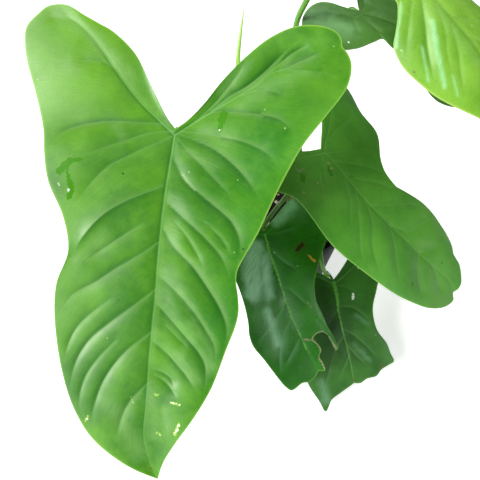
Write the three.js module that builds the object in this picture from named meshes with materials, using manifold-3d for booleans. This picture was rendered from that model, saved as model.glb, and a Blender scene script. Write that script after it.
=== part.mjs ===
// Philodendron oxapapense in a round nursery pot.
// Millimetres, +Z up. The origin is the middle of the pot's flat underside.
// The plant's front, where its largest leaf hangs, faces -Y.

import * as THREE from 'three';
import { mergeVertices } from 'three/addons/utils/BufferGeometryUtils.js';
import Module from 'manifold-3d';

const wasm = await Module();
wasm.setup();

// Driving dimensions
const POT_TOP_RADIUS = 70;
const POT_BASE_RADIUS = 49;
const POT_HEIGHT = 115;
const POT_WALL = 1.3;
const POT_FLOOR = 2;
const LIP_HEIGHT = 8.5;
const LIP_OVERHANG = 2.6;
const POT_SIDES = 48;
const DRAIN_HOLES = 8;
const DRAIN_HOLE_RADIUS = 4;
const DRAIN_CIRCLE_RADIUS = 34;

const SOIL_LEVEL = 103;
const SOIL_ROUGHNESS = 1.6;
const SOIL_RINGS = 6;
const SOIL_SIDES = 24;
const GRAIN_COUNT = 34;
const GRAIN_SMALL = 2.0;
const GRAIN_LARGE = 4.2;

const STEM_FOOT = new THREE.Vector3(15, 12, 76);
const STEM_TOP = new THREE.Vector3(14, 13, 153);
const STEM_RADIUS = 8;
const STEM_HOLE_RADIUS = 9.9;
const STEM_HOLE_SPARE = 1;
const STEM_SIDES = 14;
const SCAR_RINGS = 5;
const SCAR_HEIGHT = 0.9;
const CROWN_SHRINK = 3.2;
const CROWN_FROM = 0.85;

const BLADE_THICKNESS = 0.9;
const MIDRIB_DEPTH = 2.0;
const LOBE_RIB_DEPTH = 1.3;
const VEIN_SWEEP = 1.6;
const RIB_SPREAD = 1.35;

const STALK_SIDES = 8;
const STALK_TIP_RADIUS = 1.2;
const STALK_NECK_LENGTH = 9;
const SHEATH_LENGTH = 38;
const SHEATH_SWELL = 0.55;
const NEW_LEAF_PATH = [[15, 12, 143], [4, 21, 158], [-20, 26, 188], [-43, 28, 222], [-45.5, 42, 256],
  [-41.5, 62, 294]];
const NEW_LEAF_STALK_RADIUS = 2.3;
const NEW_LEAF_SPEAR_RADIUS = 2.6;
const NEW_LEAF_SPEAR_FROM = 0.42;
const NEW_LEAF_TIP_RADIUS = 0.35;
const SEAT_GAP = 0.3;
const WALL_GAP = 0.5;

// Sample places across each half blade, from the rib (0) to the margin (1)
const ACROSS = [0, 0.06, 0.28, 0.54, 0.8, 1];

// Materials
function material(color, roughness) {
  return new THREE.MeshStandardMaterial({ color, roughness, metalness: 0 });
}
const potPlastic = material(0x28312c, 0.55);
const peat = material(0x17110d, 0.95);
const stemSkin = material(0x5f7a3a, 0.6);
const stalkGreen = material(0x5d972e, 0.4);
const budLime = material(0xc3e77d, 0.45);

// Leaves
// Each blade lies in its own plane: x runs from the stalk to the tip, y to the side, z up.
// at and tip place that plane; roll turns it about the line between them.
// midrib runs from the stalk to the tip; right and left run from the tip round to the notch.
// shoulder and lobe are the outline points, counted from the tip, where the vein from the
// stalk and the lobe's rib reach the margin. corners are outline points kept sharp.
// A stalk's path is in the plant's frame; its approach and seat are in the blade's.
const LEAVES = [
  {
    name: 'leaf_front',
    color: 0x74b44c,
    roughness: 0.42,
    at: [-91, -76, 269],
    tip: [-105, -266, 96],
    roll: 0,
    bulge: 9,
    fold: 0.17,
    arch: 0.0013,
    lobeDrop: 0.0003,
    pleat: 1.8,
    wave: 1.4,
    waves: 3.5,
    veins: 8,
    lobeVeins: 6,
    midrib: [[0, 0], [44, -4], [77, -6], [119, -7], [160, -9], [199, -10], [222, -11], [240, -7], [257, 0]],
    right: {
      outline: [[257, 0], [243, 4], [226, 13], [207, 25], [184, 37], [155, 49], [125, 55], [95, 57], [54, 71],
        [27, 82], [3, 94], [-20, 110], [-42, 124], [-59, 125], [-75, 116], [-84, 102], [-83, 84],
        [-74, 65], [-59, 48], [-42, 33], [-24, 20], [-12, 9], [-5, 0]],
      rib: [[0, 0], [-13, 17], [-35, 46], [-50, 66], [-66, 88]],
      shoulder: 9.2,
      lobe: 15.2,
      corners: [1],
    },
    left: {
      outline: [[257, 0], [246, -23], [228, -47], [212, -59], [190, -69], [150, -78], [114, -79],
        [88, -71], [64, -76], [39, -89], [20, -94], [1, -97], [-27, -106], [-53, -115], [-72, -117],
        [-86, -108], [-94, -92], [-91, -74], [-81, -58], [-57, -32], [-33, -18], [-12, -6], [-5, 0]],
      rib: [[0, 0], [-9, -11], [-41, -41], [-62, -59], [-77, -77]],
      shoulder: 8.2,
      lobe: 16,
      corners: [1],
    },
    stalk: {
      radius: 2.9,
      path: [[15, 12, 134], [3, 11, 144], [-3, 10, 165], [-8, 6, 205], [-40, -24, 244], [-72, -60, 256]],
      approach: [2, 7, -8],
      seat: [-5.2, 0, -3.35],
    },
  },
  {
    name: 'leaf_right',
    color: 0x4b832e,
    roughness: 0.45,
    at: [33, -17, 201],
    tip: [154, -109, 97],
    roll: 0,
    bulge: 8,
    fold: 0.12,
    arch: 0.0022,
    lobeDrop: 0.0006,
    pleat: 1.2,
    wave: 1.0,
    waves: 3,
    veins: 6,
    lobeVeins: 4,
    midrib: [[0, 0], [16, -1], [41, -4], [64, -5], [87, -3], [108, 0], [141, 4], [184, 0]],
    right: {
      outline: [[184, 0], [182, 13], [176, 26], [145, 45], [130, 48], [114, 49], [96, 46], [85, 40], [75, 34],
        [62, 33], [51, 35], [40, 42], [21, 65], [-1, 72], [-26, 88], [-46, 90], [-54, 76],
        [-50, 62], [-34, 38], [-19, 21], [-5, 0]],
      rib: [[0, 0], [-11, 20], [-24, 42], [-38, 66]],
      shoulder: 10,
      lobe: 16,
      corners: [1, 2, 8],
    },
    left: {
      outline: [[184, 0], [175, -14], [164, -26], [150, -37], [133, -46], [94, -59], [61, -65],
        [31, -62], [8, -60], [-6, -66], [-24, -65], [-33, -52], [-27, -32], [-14, -16], [-5, 0]],
      rib: [[0, 0], [-8, -22], [-16, -38], [-23, -50]],
      shoulder: 6.7,
      lobe: 10.6,
      corners: [1],
    },
    stalk: {
      radius: 2.4,
      path: [[15, 12, 127], [20, 1, 136], [25, -5, 160], [28, -5, 182]],
      approach: [-1, 1, -9],
      seat: [-2.5, 0, -2.5],
    },
  },
  {
    name: 'leaf_low_left',
    color: 0x23501a,
    roughness: 0.4,
    at: [-20, -65, 144],
    tip: [33, -166, 46],
    roll: 0,
    bulge: 7,
    fold: 0.10,
    arch: 0.0026,
    lobeDrop: 0.0008,
    pleat: 1.3,
    wave: 1.2,
    waves: 3,
    veins: 6,
    lobeVeins: 4,
    midrib: [[0, 0], [18, -3], [37, -4], [59, -6], [82, -6], [112, -3], [137, 2]],
    right: {
      outline: [[137, 2], [139, 8], [131, 8], [124, 6], [119, 10], [113, 9], [107, 5], [103, 9],
        [103, 16], [108, 21], [116, 23], [126, 25], [125, 28], [108, 25], [87, 23], [73, 22],
        [59, 26], [41, 40], [24, 56], [6, 66], [-10, 72], [-23, 66], [-28, 48], [-22, 30],
        [-12, 14], [-4, 0]],
      rib: [[0, 0], [-5, 20], [-9, 38], [-15, 54]],
      shoulder: 17.4,
      lobe: 21.6,
      corners: [1, 3, 4, 6, 7.6, 9, 11, 12, 13, 15],
    },
    left: {
      outline: [[137, 2], [141, -4], [142, -11], [140, -17], [142, -29], [137, -33], [130, -36],
        [104, -44], [89, -49], [78, -49], [67, -46], [44, -43], [18, -43], [0, -44], [-18, -41],
        [-30, -31], [-28, -17], [-16, -6], [-4, 0]],
      rib: [[0, 0], [-7, -14], [-14, -24], [-21, -31]],
      shoulder: 11.6,
      lobe: 15,
      corners: [3, 4, 6],
    },
    stalk: {
      radius: 2.2,
      path: [[15, 12, 124], [7, 1, 131], [-1, -14, 136], [-9, -31, 142]],
      approach: [-10, 7, -5],
      seat: [-4.9, 0, -3.3],
    },
  },
  {
    name: 'leaf_low_right',
    color: 0x39612d,
    roughness: 0.45,
    at: [52, -68, 71],
    tip: [71, -165, 16],
    roll: 0,
    bulge: 5,
    fold: 0.10,
    arch: 0.0026,
    lobeDrop: 0.0008,
    pleat: 1.1,
    wave: 1.0,
    waves: 2.5,
    veins: 5,
    lobeVeins: 4,
    midrib: [[0, 0], [30, -2], [48, -2], [64, -1], [84, 0], [99, 0]],
    right: {
      outline: [[99, 0], [100, 6], [97, 13], [96, 23], [91, 29], [88, 37], [85, 44], [77, 42],
        [67, 40], [53, 33], [40, 32], [29, 34], [13, 42], [-3, 49], [-20, 49], [-31, 40],
        [-30, 28], [-20, 17], [-11, 8], [-4, 0]],
      rib: [[0, 0], [-8, 14], [-14, 26], [-20, 36]],
      shoulder: 11.6,
      lobe: 15.2,
      corners: [1, 2, 3, 4, 6, 7],
    },
    left: {
      outline: [[99, 0], [103, -9], [107, -18], [111, -25], [121, -32], [110, -37], [92, -45],
        [60, -50], [29, -51], [8, -50], [-6, -45], [-14, -35], [-15, -23], [-15, -14], [-9, -6], [-4, 0]],
      rib: [[0, 0], [-4, -13], [-7, -23], [-9, -32]],
      shoulder: 8,
      lobe: 11.2,
      corners: [3, 4, 5],
    },
    stalk: {
      radius: 2,
      path: [[15, 12, 115], [20, -6, 122], [26, -38, 125], [32, -62, 122], [36, -75, 107], [43, -71, 89]],
      approach: [-12, -4, -1.5],
      seat: [-4.9, 0, -2.95],
    },
  },
  {
    name: 'leaf_back',
    color: 0x55863f,
    roughness: 0.45,
    at: [67, 79, 281],
    tip: [164, 16, 235],
    roll: -15,
    bulge: 6,
    fold: 0.10,
    arch: 0.0020,
    lobeDrop: 0.0008,
    pleat: 1.0,
    wave: 1.2,
    waves: 2.5,
    veins: 5,
    lobeVeins: 3,
    midrib: [[0, 0], [11, 4], [25, 8], [37, 9], [64, 7], [95, 3], [124, 0]],
    right: {
      outline: [[124, 0], [120, 13], [108, 27], [90, 38], [68, 44], [46, 45], [28, 46], [10, 53],
        [-8, 57], [-24, 52], [-33, 42], [-28, 28], [-17, 13], [-4, 0]],
      rib: [[0, 0], [-7, 15], [-15, 29], [-22, 41]],
      shoulder: 5.6,
      lobe: 10,
      corners: [1],
    },
    left: {
      outline: [[124, 0], [121, -15], [113, -25], [99, -31], [84, -28], [68, -18], [52, -14], [39, -15],
        [29, -13], [25, -21], [17, -38], [3, -51], [-15, -58], [-30, -51], [-39, -38], [-40, -25],
        [-36, -16], [-29, -11], [-18, -7], [-4, 0]],
      rib: [[0, 0], [-7, -13], [-14, -25], [-21, -37]],
      shoulder: 8.6,
      lobe: 13.4,
      corners: [2, 3, 7],
    },
    stalk: {
      radius: 2.2,
      path: [[15, 12, 133], [28, 20, 140], [42, 34, 152], [50, 52, 163], [58, 76, 178], [62, 92, 198],
        [58, 98, 226], [59, 96, 256]],
      approach: [-12, 0, -6],
      seat: [-4.7, 0, -3.0],
    },
  },
  {
    name: 'leaf_young',
    color: 0x8ccb49,
    roughness: 0.32,
    at: [90, 30, 338],
    tip: [161, -81, 271],
    roll: 0,
    bulge: 7,
    fold: -0.12,
    arch: 0.0012,
    lobeDrop: 0.0006,
    pleat: 1.4,
    wave: 1.0,
    waves: 2.5,
    veins: 5,
    lobeVeins: 3,
    midrib: [[0, 0], [24, 0], [51, 2], [81, 4], [101, -1], [123, -3], [147, 0]],
    right: {
      outline: [[147, 0], [140, 11], [127, 22], [111, 32], [95, 38], [78, 42], [62, 43], [47, 39],
        [34, 34], [22, 31], [12, 32], [0, 38], [-12, 45], [-26, 47], [-37, 41], [-40, 29],
        [-33, 17], [-19, 8], [-5, 0]],
      rib: [[0, 0], [-7, 10], [-15, 21], [-24, 32]],
      shoulder: 9,
      lobe: 14,
      corners: [1],
    },
    left: {
      outline: [[147, 0], [136, -15], [122, -26], [108, -37], [94, -46], [78, -52], [63, -55], [47, -52],
        [36, -43], [25, -34], [15, -29], [5, -33], [-8, -42], [-22, -46], [-34, -42], [-40, -30],
        [-34, -18], [-20, -9], [-5, 0]],
      rib: [[0, 0], [-7, -10], [-15, -21], [-24, -32]],
      shoulder: 9,
      lobe: 14,
      corners: [1],
    },
    stalk: {
      radius: 2.5,
      path: [[15, 12, 139], [17, 26, 150], [10, 50, 215], [6.5, 69, 272], [13.5, 60, 303], [26, 55, 334],
        [45, 52, 355], [66, 46, 358], [80, 40, 350]],
      approach: [-12, 0, -6],
      seat: [-5.2, 0, -3.2],
    },
  },
];

// Numbers in the unit interval from a seeded 32-bit generator
function seededRandom(seed) {
  let state = seed >>> 0;
  return function next() {
    state = (Math.imul(state, 1664525) + 1013904223) >>> 0;
    return state / 4294967296;
  };
}

function clamp(value, low, high) {
  return Math.min(high, Math.max(low, value));
}

// A smooth plane curve through the given points, measured along its length
function planeCurve(points) {
  const curve = new THREE.CatmullRomCurve3(points.map(([x, y]) => new THREE.Vector3(x, y, 0)));
  const spans = points.length - 1;
  curve.arcLengthDivisions = spans * 12;
  const lengths = curve.getLengths();
  const total = lengths[lengths.length - 1];
  return {
    total,
    at: (distance) => curve.getPointAt(clamp(distance / total, 0, 1)),
    distanceAt: (index) => {
      const place = clamp(index, 0, spans) * 12;
      const low = Math.min(Math.floor(place), lengths.length - 2);
      return lengths[low] + (lengths[low + 1] - lengths[low]) * (place - low);
    },
  };
}

// The blade's large curves: bulge along the midrib, fold across it, arched halves
function bladeForm(leaf, x, y) {
  const span = leaf.midrib[leaf.midrib.length - 1][0];
  const along = x / span;
  const lengthwise = x > 0
    ? 4 * leaf.bulge * along * (1 - along)
    : (4 * leaf.bulge * along) / (1 - 3 * along) - leaf.lobeDrop * x * x;
  return lengthwise + leaf.fold * (Math.hypot(y, 8) - 8) - leaf.arch * y * y;
}

// Height of one point: the large form, the swelling between veins and the margin's wave
function bladeHeight(leaf, x, y, row, across) {
  const fade = clamp(row.place / 0.12, 0, 1) * clamp((3 - row.place) / 0.15, 0, 1);
  const swell = 0.9 * Math.sin(Math.PI * across ** 0.8) + 0.1 * across;
  const pleat = leaf.pleat * (Math.sin(Math.PI * row.phase) - 0.55) * swell;
  const wave = leaf.wave * across ** 3 * Math.sin(2 * Math.PI * leaf.waves * row.place / 3);
  return bladeForm(leaf, x, y) + fade * (pleat + wave);
}

// Rows of one half blade. A row runs from the ribs to the margin as the veins do.
// place counts 0 at the tip, 1 at the stalk, 2 at the lobe's end and 3 at the notch.
function halfRows(leaf, side, places) {
  const half = leaf[side];
  const outline = planeCurve(half.outline);
  const midrib = planeCurve([...leaf.midrib].reverse());
  const rib = planeCurve(half.rib);
  const shoulder = outline.distanceAt(half.shoulder);
  const lobe = outline.distanceAt(half.lobe);
  const outward = side === 'right' ? 1 : -1;
  return places.map((place) => {
    let from;
    let reach;
    let bow;
    let phase;
    if (place <= 1) {
      from = midrib.at(midrib.total * place);
      reach = shoulder * place ** VEIN_SWEEP;
      bow = 0.2 * (1 - 0.3 * place);
      phase = (place * leaf.veins) % 1;
    } else if (place <= 2) {
      const part = place - 1;
      from = rib.at(rib.total * part ** RIB_SPREAD);
      reach = shoulder + (lobe - shoulder) * part;
      bow = 0.14 * (1 - 1.3 * part);
      phase = (part * leaf.lobeVeins) % 1;
    } else {
      const part = place - 2;
      from = rib.at(rib.total * (1 - part) ** RIB_SPREAD);
      reach = lobe + (outline.total - lobe) * part ** 0.95;
      bow = -0.04 * (1 - part);
      phase = (part * leaf.lobeVeins) % 1;
    }
    const to = outline.at(reach);
    const chord = new THREE.Vector3().subVectors(to, from);
    const sideways = new THREE.Vector3(-chord.y, chord.x, 0).multiplyScalar(outward * bow);
    const bend = new THREE.Vector3().addVectors(from, to).multiplyScalar(0.5).add(sideways);
    const vein = new THREE.QuadraticBezierCurve3(from, bend, to);
    return { place, phase: Math.min(phase, 1), vein };
  });
}

// Every row's place: an even share to each vein, plus the margin's sharp corners
function rowPlaces(leaf) {
  const places = [];
  const ahead = leaf.veins * 2;
  for (let i = 0; i < ahead; i += 1) {
    places.push(i / ahead);
  }
  for (const side of ['right', 'left']) {
    const outline = planeCurve(leaf[side].outline);
    const shoulder = outline.distanceAt(leaf[side].shoulder);
    for (const corner of leaf[side].corners) {
      places.push((outline.distanceAt(corner) / shoulder) ** (1 / VEIN_SWEEP));
    }
  }
  places.sort((a, b) => a - b);
  const kept = places.filter((place, i) => i === 0 || place - places[i - 1] > 0.006);
  const behind = leaf.lobeVeins * 2;
  for (let i = 0; i <= behind * 2; i += 1) {
    kept.push(1 + i / behind);
  }
  return kept;
}

// How far the rib stands out under the blade at one place on it
function ribDepth(place) {
  if (place <= 1) {
    return MIDRIB_DEPTH * (0.25 + 0.75 * place);
  }
  const part = place <= 2 ? place - 1 : 3 - place;
  return LOBE_RIB_DEPTH * (1 - 0.8 * part) + (MIDRIB_DEPTH - LOBE_RIB_DEPTH) * Math.max(0, 1 - 6 * part);
}

// One closed blade: both faces are split into the same triangles, joined round the margin
function bladeGeometry(leaf) {
  const upper = [];
  const lower = [];
  const faces = [];
  const known = new Map();
  const places = rowPlaces(leaf);
  function vertex(row, across) {
    const spot = row.vein.getPoint(across);
    const key = `${spot.x.toFixed(3)},${spot.y.toFixed(3)}`;
    if (!known.has(key)) {
      const height = bladeHeight(leaf, spot.x, spot.y, row, across);
      const depth = across === 0 ? ribDepth(row.place) : 0;
      known.set(key, upper.length);
      upper.push([spot.x, spot.y, height]);
      lower.push([spot.x, spot.y, height - BLADE_THICKNESS - depth]);
    }
    return known.get(key);
  }
  function addFace(a, b, c) {
    if (a !== b && b !== c && c !== a) {
      faces.push([a, b, c]);
    }
  }
  for (const side of ['right', 'left']) {
    const grid = halfRows(leaf, side, places).map((row) => ACROSS.map((across) => vertex(row, across)));
    for (let i = 0; i + 1 < grid.length; i += 1) {
      for (let j = 0; j + 1 < ACROSS.length; j += 1) {
        const [a, b, c, d] = [grid[i][j], grid[i][j + 1], grid[i + 1][j + 1], grid[i + 1][j]];
        if (side === 'right') {
          addFace(a, b, c);
          addFace(a, c, d);
        } else {
          addFace(a, c, b);
          addFace(a, d, c);
        }
      }
    }
  }
  const edges = new Map();
  for (const [a, b, c] of faces) {
    for (const [from, to] of [[a, b], [b, c], [c, a]]) {
      edges.set(`${from}_${to}`, [from, to]);
    }
  }
  const count = upper.length;
  const index = [];
  for (const [a, b, c] of faces) {
    index.push(a, b, c, a + count, c + count, b + count);
  }
  for (const [from, to] of edges.values()) {
    if (!edges.has(`${to}_${from}`)) {
      index.push(to, from, from + count, to, from + count, to + count);
    }
  }
  const geometry = new THREE.BufferGeometry();
  geometry.setAttribute('position', new THREE.Float32BufferAttribute([...upper, ...lower].flat(), 3));
  geometry.setIndex(index);
  geometry.computeVertexNormals();
  return geometry;
}

// The blade's plane in the plant: its axes and its origin at the stalk
function bladeFrame(leaf) {
  const origin = new THREE.Vector3(...leaf.at);
  const ahead = new THREE.Vector3(...leaf.tip).sub(origin).normalize();
  const up = new THREE.Vector3(0, 0, 1);
  up.addScaledVector(ahead, -up.dot(ahead)).normalize();
  up.applyAxisAngle(ahead, THREE.MathUtils.degToRad(-leaf.roll));
  const across = new THREE.Vector3().crossVectors(up, ahead);
  return new THREE.Matrix4().makeBasis(ahead, across, up).setPosition(origin);
}

// A closed tube of changing radius along a smooth line through the points
function taperedTube(points, radiusAt, sides, steps) {
  const line = new THREE.CatmullRomCurve3(points);
  const frames = line.computeFrenetFrames(steps, false);
  const position = [];
  const index = [];
  for (let i = 0; i <= steps; i += 1) {
    const centre = line.getPointAt(i / steps);
    const radius = radiusAt(i / steps);
    for (let j = 0; j < sides; j += 1) {
      const angle = (2 * Math.PI * j) / sides;
      const spot = centre.clone()
        .addScaledVector(frames.normals[i], radius * Math.cos(angle))
        .addScaledVector(frames.binormals[i], radius * Math.sin(angle));
      position.push(spot.x, spot.y, spot.z);
    }
  }
  for (let i = 0; i < steps; i += 1) {
    for (let j = 0; j < sides; j += 1) {
      const a = i * sides + j;
      const b = i * sides + ((j + 1) % sides);
      index.push(a, b, b + sides, a, b + sides, a + sides);
    }
  }
  for (let j = 1; j + 1 < sides; j += 1) {
    index.push(0, j + 1, j);
    const last = steps * sides;
    index.push(last, last + j, last + j + 1);
  }
  const geometry = new THREE.BufferGeometry();
  geometry.setAttribute('position', new THREE.Float32BufferAttribute(position, 3));
  geometry.setIndex(index);
  geometry.computeVertexNormals();
  return geometry;
}

function toSolid(geometry) {
  const bare = geometry.clone();
  bare.deleteAttribute('normal');
  bare.deleteAttribute('uv');
  const merged = mergeVertices(bare, 1e-4);
  return new wasm.Manifold(new wasm.Mesh({
    numProp: 3,
    vertProperties: new Float32Array(merged.attributes.position.array),
    triVerts: new Uint32Array(merged.index.array),
  }));
}

// The largest body of a solid: scraps that a cut leaves loose are dropped
function mainBody(solid) {
  const bodies = solid.decompose();
  return bodies.reduce((best, body) => (body.volume() > best.volume() ? body : best));
}

function toGeometry(solid) {
  const mesh = solid.getMesh();
  const geometry = new THREE.BufferGeometry();
  geometry.setAttribute('position', new THREE.Float32BufferAttribute(mesh.vertProperties, 3));
  geometry.setIndex(Array.from(mesh.triVerts));
  geometry.computeVertexNormals();
  return geometry;
}

// A body of revolution about Z from a profile of [radius, height] points
function revolved(profile, sides) {
  const lathe = new THREE.LatheGeometry(profile.map(([r, z]) => new THREE.Vector2(r, z)), sides);
  lathe.rotateX(Math.PI / 2);
  return lathe;
}

// Inner radius of the pot wall at a height
function potInnerRadius(z) {
  const slope = (POT_TOP_RADIUS - LIP_OVERHANG - POT_BASE_RADIUS) / (POT_HEIGHT - LIP_HEIGHT);
  return POT_BASE_RADIUS + slope * z - POT_WALL;
}

// Tapered wall, outward lip, flat base with a ring of drain holes round a plain middle
function potGeometry() {
  const wallTop = POT_TOP_RADIUS - LIP_OVERHANG;
  const lipFoot = POT_HEIGHT - LIP_HEIGHT;
  const profile = [
    [0, 0],
    [POT_BASE_RADIUS, 0],
    [wallTop, lipFoot],
    [POT_TOP_RADIUS, lipFoot],
    [POT_TOP_RADIUS, POT_HEIGHT],
    [POT_TOP_RADIUS - POT_WALL, POT_HEIGHT],
    [potInnerRadius(lipFoot), lipFoot],
    [potInnerRadius(POT_FLOOR), POT_FLOOR],
    [0, POT_FLOOR],
  ];
  let pot = toSolid(revolved(profile, POT_SIDES));
  for (let i = 0; i < DRAIN_HOLES; i += 1) {
    const angle = (2 * Math.PI * i) / DRAIN_HOLES;
    const hole = new THREE.CylinderGeometry(DRAIN_HOLE_RADIUS, DRAIN_HOLE_RADIUS, POT_FLOOR * 4, 12);
    hole.rotateX(Math.PI / 2);
    hole.translate(DRAIN_CIRCLE_RADIUS * Math.cos(angle), DRAIN_CIRCLE_RADIUS * Math.sin(angle), 0);
    pot = pot.subtract(toSolid(hole));
  }
  return toGeometry(pot);
}

// Soil body with an uneven top
function soilBody() {
  const random = seededRandom(41);
  const position = [];
  const index = [];
  const edge = potInnerRadius(SOIL_LEVEL) - WALL_GAP;
  const foot = potInnerRadius(POT_FLOOR) - WALL_GAP;
  position.push(0, 0, SOIL_LEVEL + SOIL_ROUGHNESS);
  for (let ring = 1; ring <= SOIL_RINGS; ring += 1) {
    for (let j = 0; j < SOIL_SIDES; j += 1) {
      const angle = (2 * Math.PI * (j + 0.5 * (ring % 2))) / SOIL_SIDES;
      const last = ring === SOIL_RINGS;
      const radius = edge * (ring / SOIL_RINGS) - (last ? 0.2 : 0);
      const lump = last ? 0 : SOIL_ROUGHNESS * (2 * random() - 1);
      const level = SOIL_LEVEL - 1 + 2 * Math.cos((Math.PI * ring) / (2 * SOIL_RINGS)) + lump;
      position.push(radius * Math.cos(angle), radius * Math.sin(angle), last ? SOIL_LEVEL - 1 : level);
    }
  }
  for (let j = 0; j < SOIL_SIDES; j += 1) {
    const angle = (2 * Math.PI * (j + 0.5 * (SOIL_RINGS % 2))) / SOIL_SIDES;
    position.push(foot * Math.cos(angle), foot * Math.sin(angle), POT_FLOOR + SEAT_GAP);
  }
  position.push(0, 0, POT_FLOOR + SEAT_GAP);
  const spot = (ring, j) => 1 + (ring - 1) * SOIL_SIDES + ((j + SOIL_SIDES) % SOIL_SIDES);
  for (let j = 0; j < SOIL_SIDES; j += 1) {
    index.push(0, spot(1, j), spot(1, j + 1));
    for (let ring = 1; ring < SOIL_RINGS; ring += 1) {
      const [a, b, c, d] = [spot(ring, j), spot(ring, j + 1), spot(ring + 1, j), spot(ring + 1, j + 1)];
      if (ring % 2 === 1) {
        index.push(a, c, d, a, d, b);
      } else {
        index.push(a, c, b, b, c, d);
      }
    }
    const [e, f] = [spot(SOIL_RINGS, j), spot(SOIL_RINGS, j + 1)];
    const [g, h] = [e + SOIL_SIDES, f + SOIL_SIDES];
    index.push(e, g, h, e, h, f);
    index.push(position.length / 3 - 1, h, g);
  }
  const geometry = new THREE.BufferGeometry();
  geometry.setAttribute('position', new THREE.Float32BufferAttribute(position, 3));
  geometry.setIndex(index);
  return geometry;
}

// Soil with pumice grains half sunk in its top and a plain hole for the stem
function soilGeometry() {
  const random = seededRandom(7);
  let soil = toSolid(soilBody());
  const reach = potInnerRadius(SOIL_LEVEL) - GRAIN_LARGE - 3;
  for (let i = 0; i < GRAIN_COUNT; i += 1) {
    const radius = reach * Math.sqrt(random());
    const angle = 2 * Math.PI * random();
    const size = GRAIN_SMALL + (GRAIN_LARGE - GRAIN_SMALL) * random();
    const grain = new THREE.IcosahedronGeometry(size, 0);
    grain.scale(1, 0.7 + 0.3 * random(), 0.6 + 0.2 * random());
    grain.rotateZ(2 * Math.PI * random());
    grain.translate(radius * Math.cos(angle), radius * Math.sin(angle), SOIL_LEVEL + 0.2 + random());
    soil = soil.add(toSolid(grain));
  }
  const depth = POT_HEIGHT - STEM_FOOT.z + STEM_HOLE_SPARE;
  const room = new THREE.CylinderGeometry(STEM_HOLE_RADIUS, STEM_HOLE_RADIUS, depth, 20);
  room.rotateX(Math.PI / 2);
  room.translate(STEM_FOOT.x, STEM_FOOT.y, STEM_FOOT.z - STEM_HOLE_SPARE + depth / 2);
  return toGeometry(mainBody(soil.subtract(toSolid(room))));
}

// Short stem, ringed by old leaf scars; extra grows it all round
function stemGeometry(extra) {
  const steps = 18;
  const middle = new THREE.Vector3().addVectors(STEM_FOOT, STEM_TOP).multiplyScalar(0.5);
  const ringed = (f) => {
    const scar = SCAR_HEIGHT * Math.max(0, Math.cos(2 * Math.PI * f * SCAR_RINGS)) ** 3;
    const shrink = CROWN_SHRINK * clamp((f - CROWN_FROM) / (1 - CROWN_FROM), 0, 1) ** 2;
    return STEM_RADIUS + scar - shrink + extra;
  };
  const axis = new THREE.Vector3().subVectors(STEM_TOP, STEM_FOOT).normalize();
  const foot = STEM_FOOT.clone().addScaledVector(axis, -extra);
  const crown = STEM_TOP.clone().addScaledVector(axis, extra);
  return taperedTube([foot, middle, crown], ringed, STEM_SIDES, steps);
}

// Leaf stalk: wide sheath at the stem, slim along its length, a small seat under the notch
function stalkGeometry(leaf, stemRoom) {
  const frame = bladeFrame(leaf);
  const path = leaf.stalk.path.map((p) => new THREE.Vector3(...p));
  for (const spot of [leaf.stalk.approach, leaf.stalk.seat]) {
    path.push(new THREE.Vector3(...spot).applyMatrix4(frame));
  }
  const length = new THREE.CatmullRomCurve3(path).getLength();
  const radiusAt = (f) => {
    const sheath = 1 + SHEATH_SWELL * clamp(1 - (f * length) / SHEATH_LENGTH, 0, 1);
    const neck = clamp(((1 - f) * length) / STALK_NECK_LENGTH, 0, 1);
    return STALK_TIP_RADIUS + (leaf.stalk.radius * sheath - STALK_TIP_RADIUS) * neck;
  };
  const steps = Math.round(clamp(length / 9, 12, 30));
  return toGeometry(toSolid(taperedTube(path, radiusAt, STALK_SIDES, steps)).subtract(stemRoom));
}

// The next leaf, still rolled to a slim spear on its own stalk
function newLeafGeometry(stemRoom) {
  const girth = (f) => {
    const part = clamp((f - NEW_LEAF_SPEAR_FROM) / (1 - NEW_LEAF_SPEAR_FROM), 0, 1);
    const spear = NEW_LEAF_SPEAR_RADIUS * Math.sin(Math.PI * part ** 0.45) ** 0.8;
    const stalk = NEW_LEAF_STALK_RADIUS * Math.min(1, (1 - part) * 2);
    return Math.max(NEW_LEAF_TIP_RADIUS, spear, stalk);
  };
  const points = NEW_LEAF_PATH.map((p) => new THREE.Vector3(...p));
  return toGeometry(toSolid(taperedTube(points, girth, 8, 30)).subtract(stemRoom));
}

// Assembly
const plant = new THREE.Group();
function place(name, geometry, look) {
  const mesh = new THREE.Mesh(geometry, look);
  mesh.name = name;
  plant.add(mesh);
  return mesh;
}

place('nursery_pot', potGeometry(), potPlastic);
place('potting_soil', soilGeometry(), peat);
place('stem', stemGeometry(0), stemSkin);
const stemRoom = toSolid(stemGeometry(SEAT_GAP));
place('new_leaf', newLeafGeometry(stemRoom), budLime);
for (const leaf of LEAVES) {
  const blade = place(leaf.name, bladeGeometry(leaf), material(leaf.color, leaf.roughness));
  bladeFrame(leaf).decompose(blade.position, blade.quaternion, blade.scale);
  place(leaf.name.replace('leaf', 'stalk'), stalkGeometry(leaf, stemRoom), stalkGreen);
}

export default plant;
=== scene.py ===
# Potted philodendron oxapapense, dressed over its CAD frame.
# Lengths are millimetres until a mesh is made, as in the part's source. The camera, the lights
# and the floor are in metres. Leaf outlines, ribs and stalk paths follow that source, with a few
# margins drawn finer. What is new here is relief, veins and colour.

import math
import bpy
import numpy as np
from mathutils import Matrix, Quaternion, Vector, noise


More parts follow.
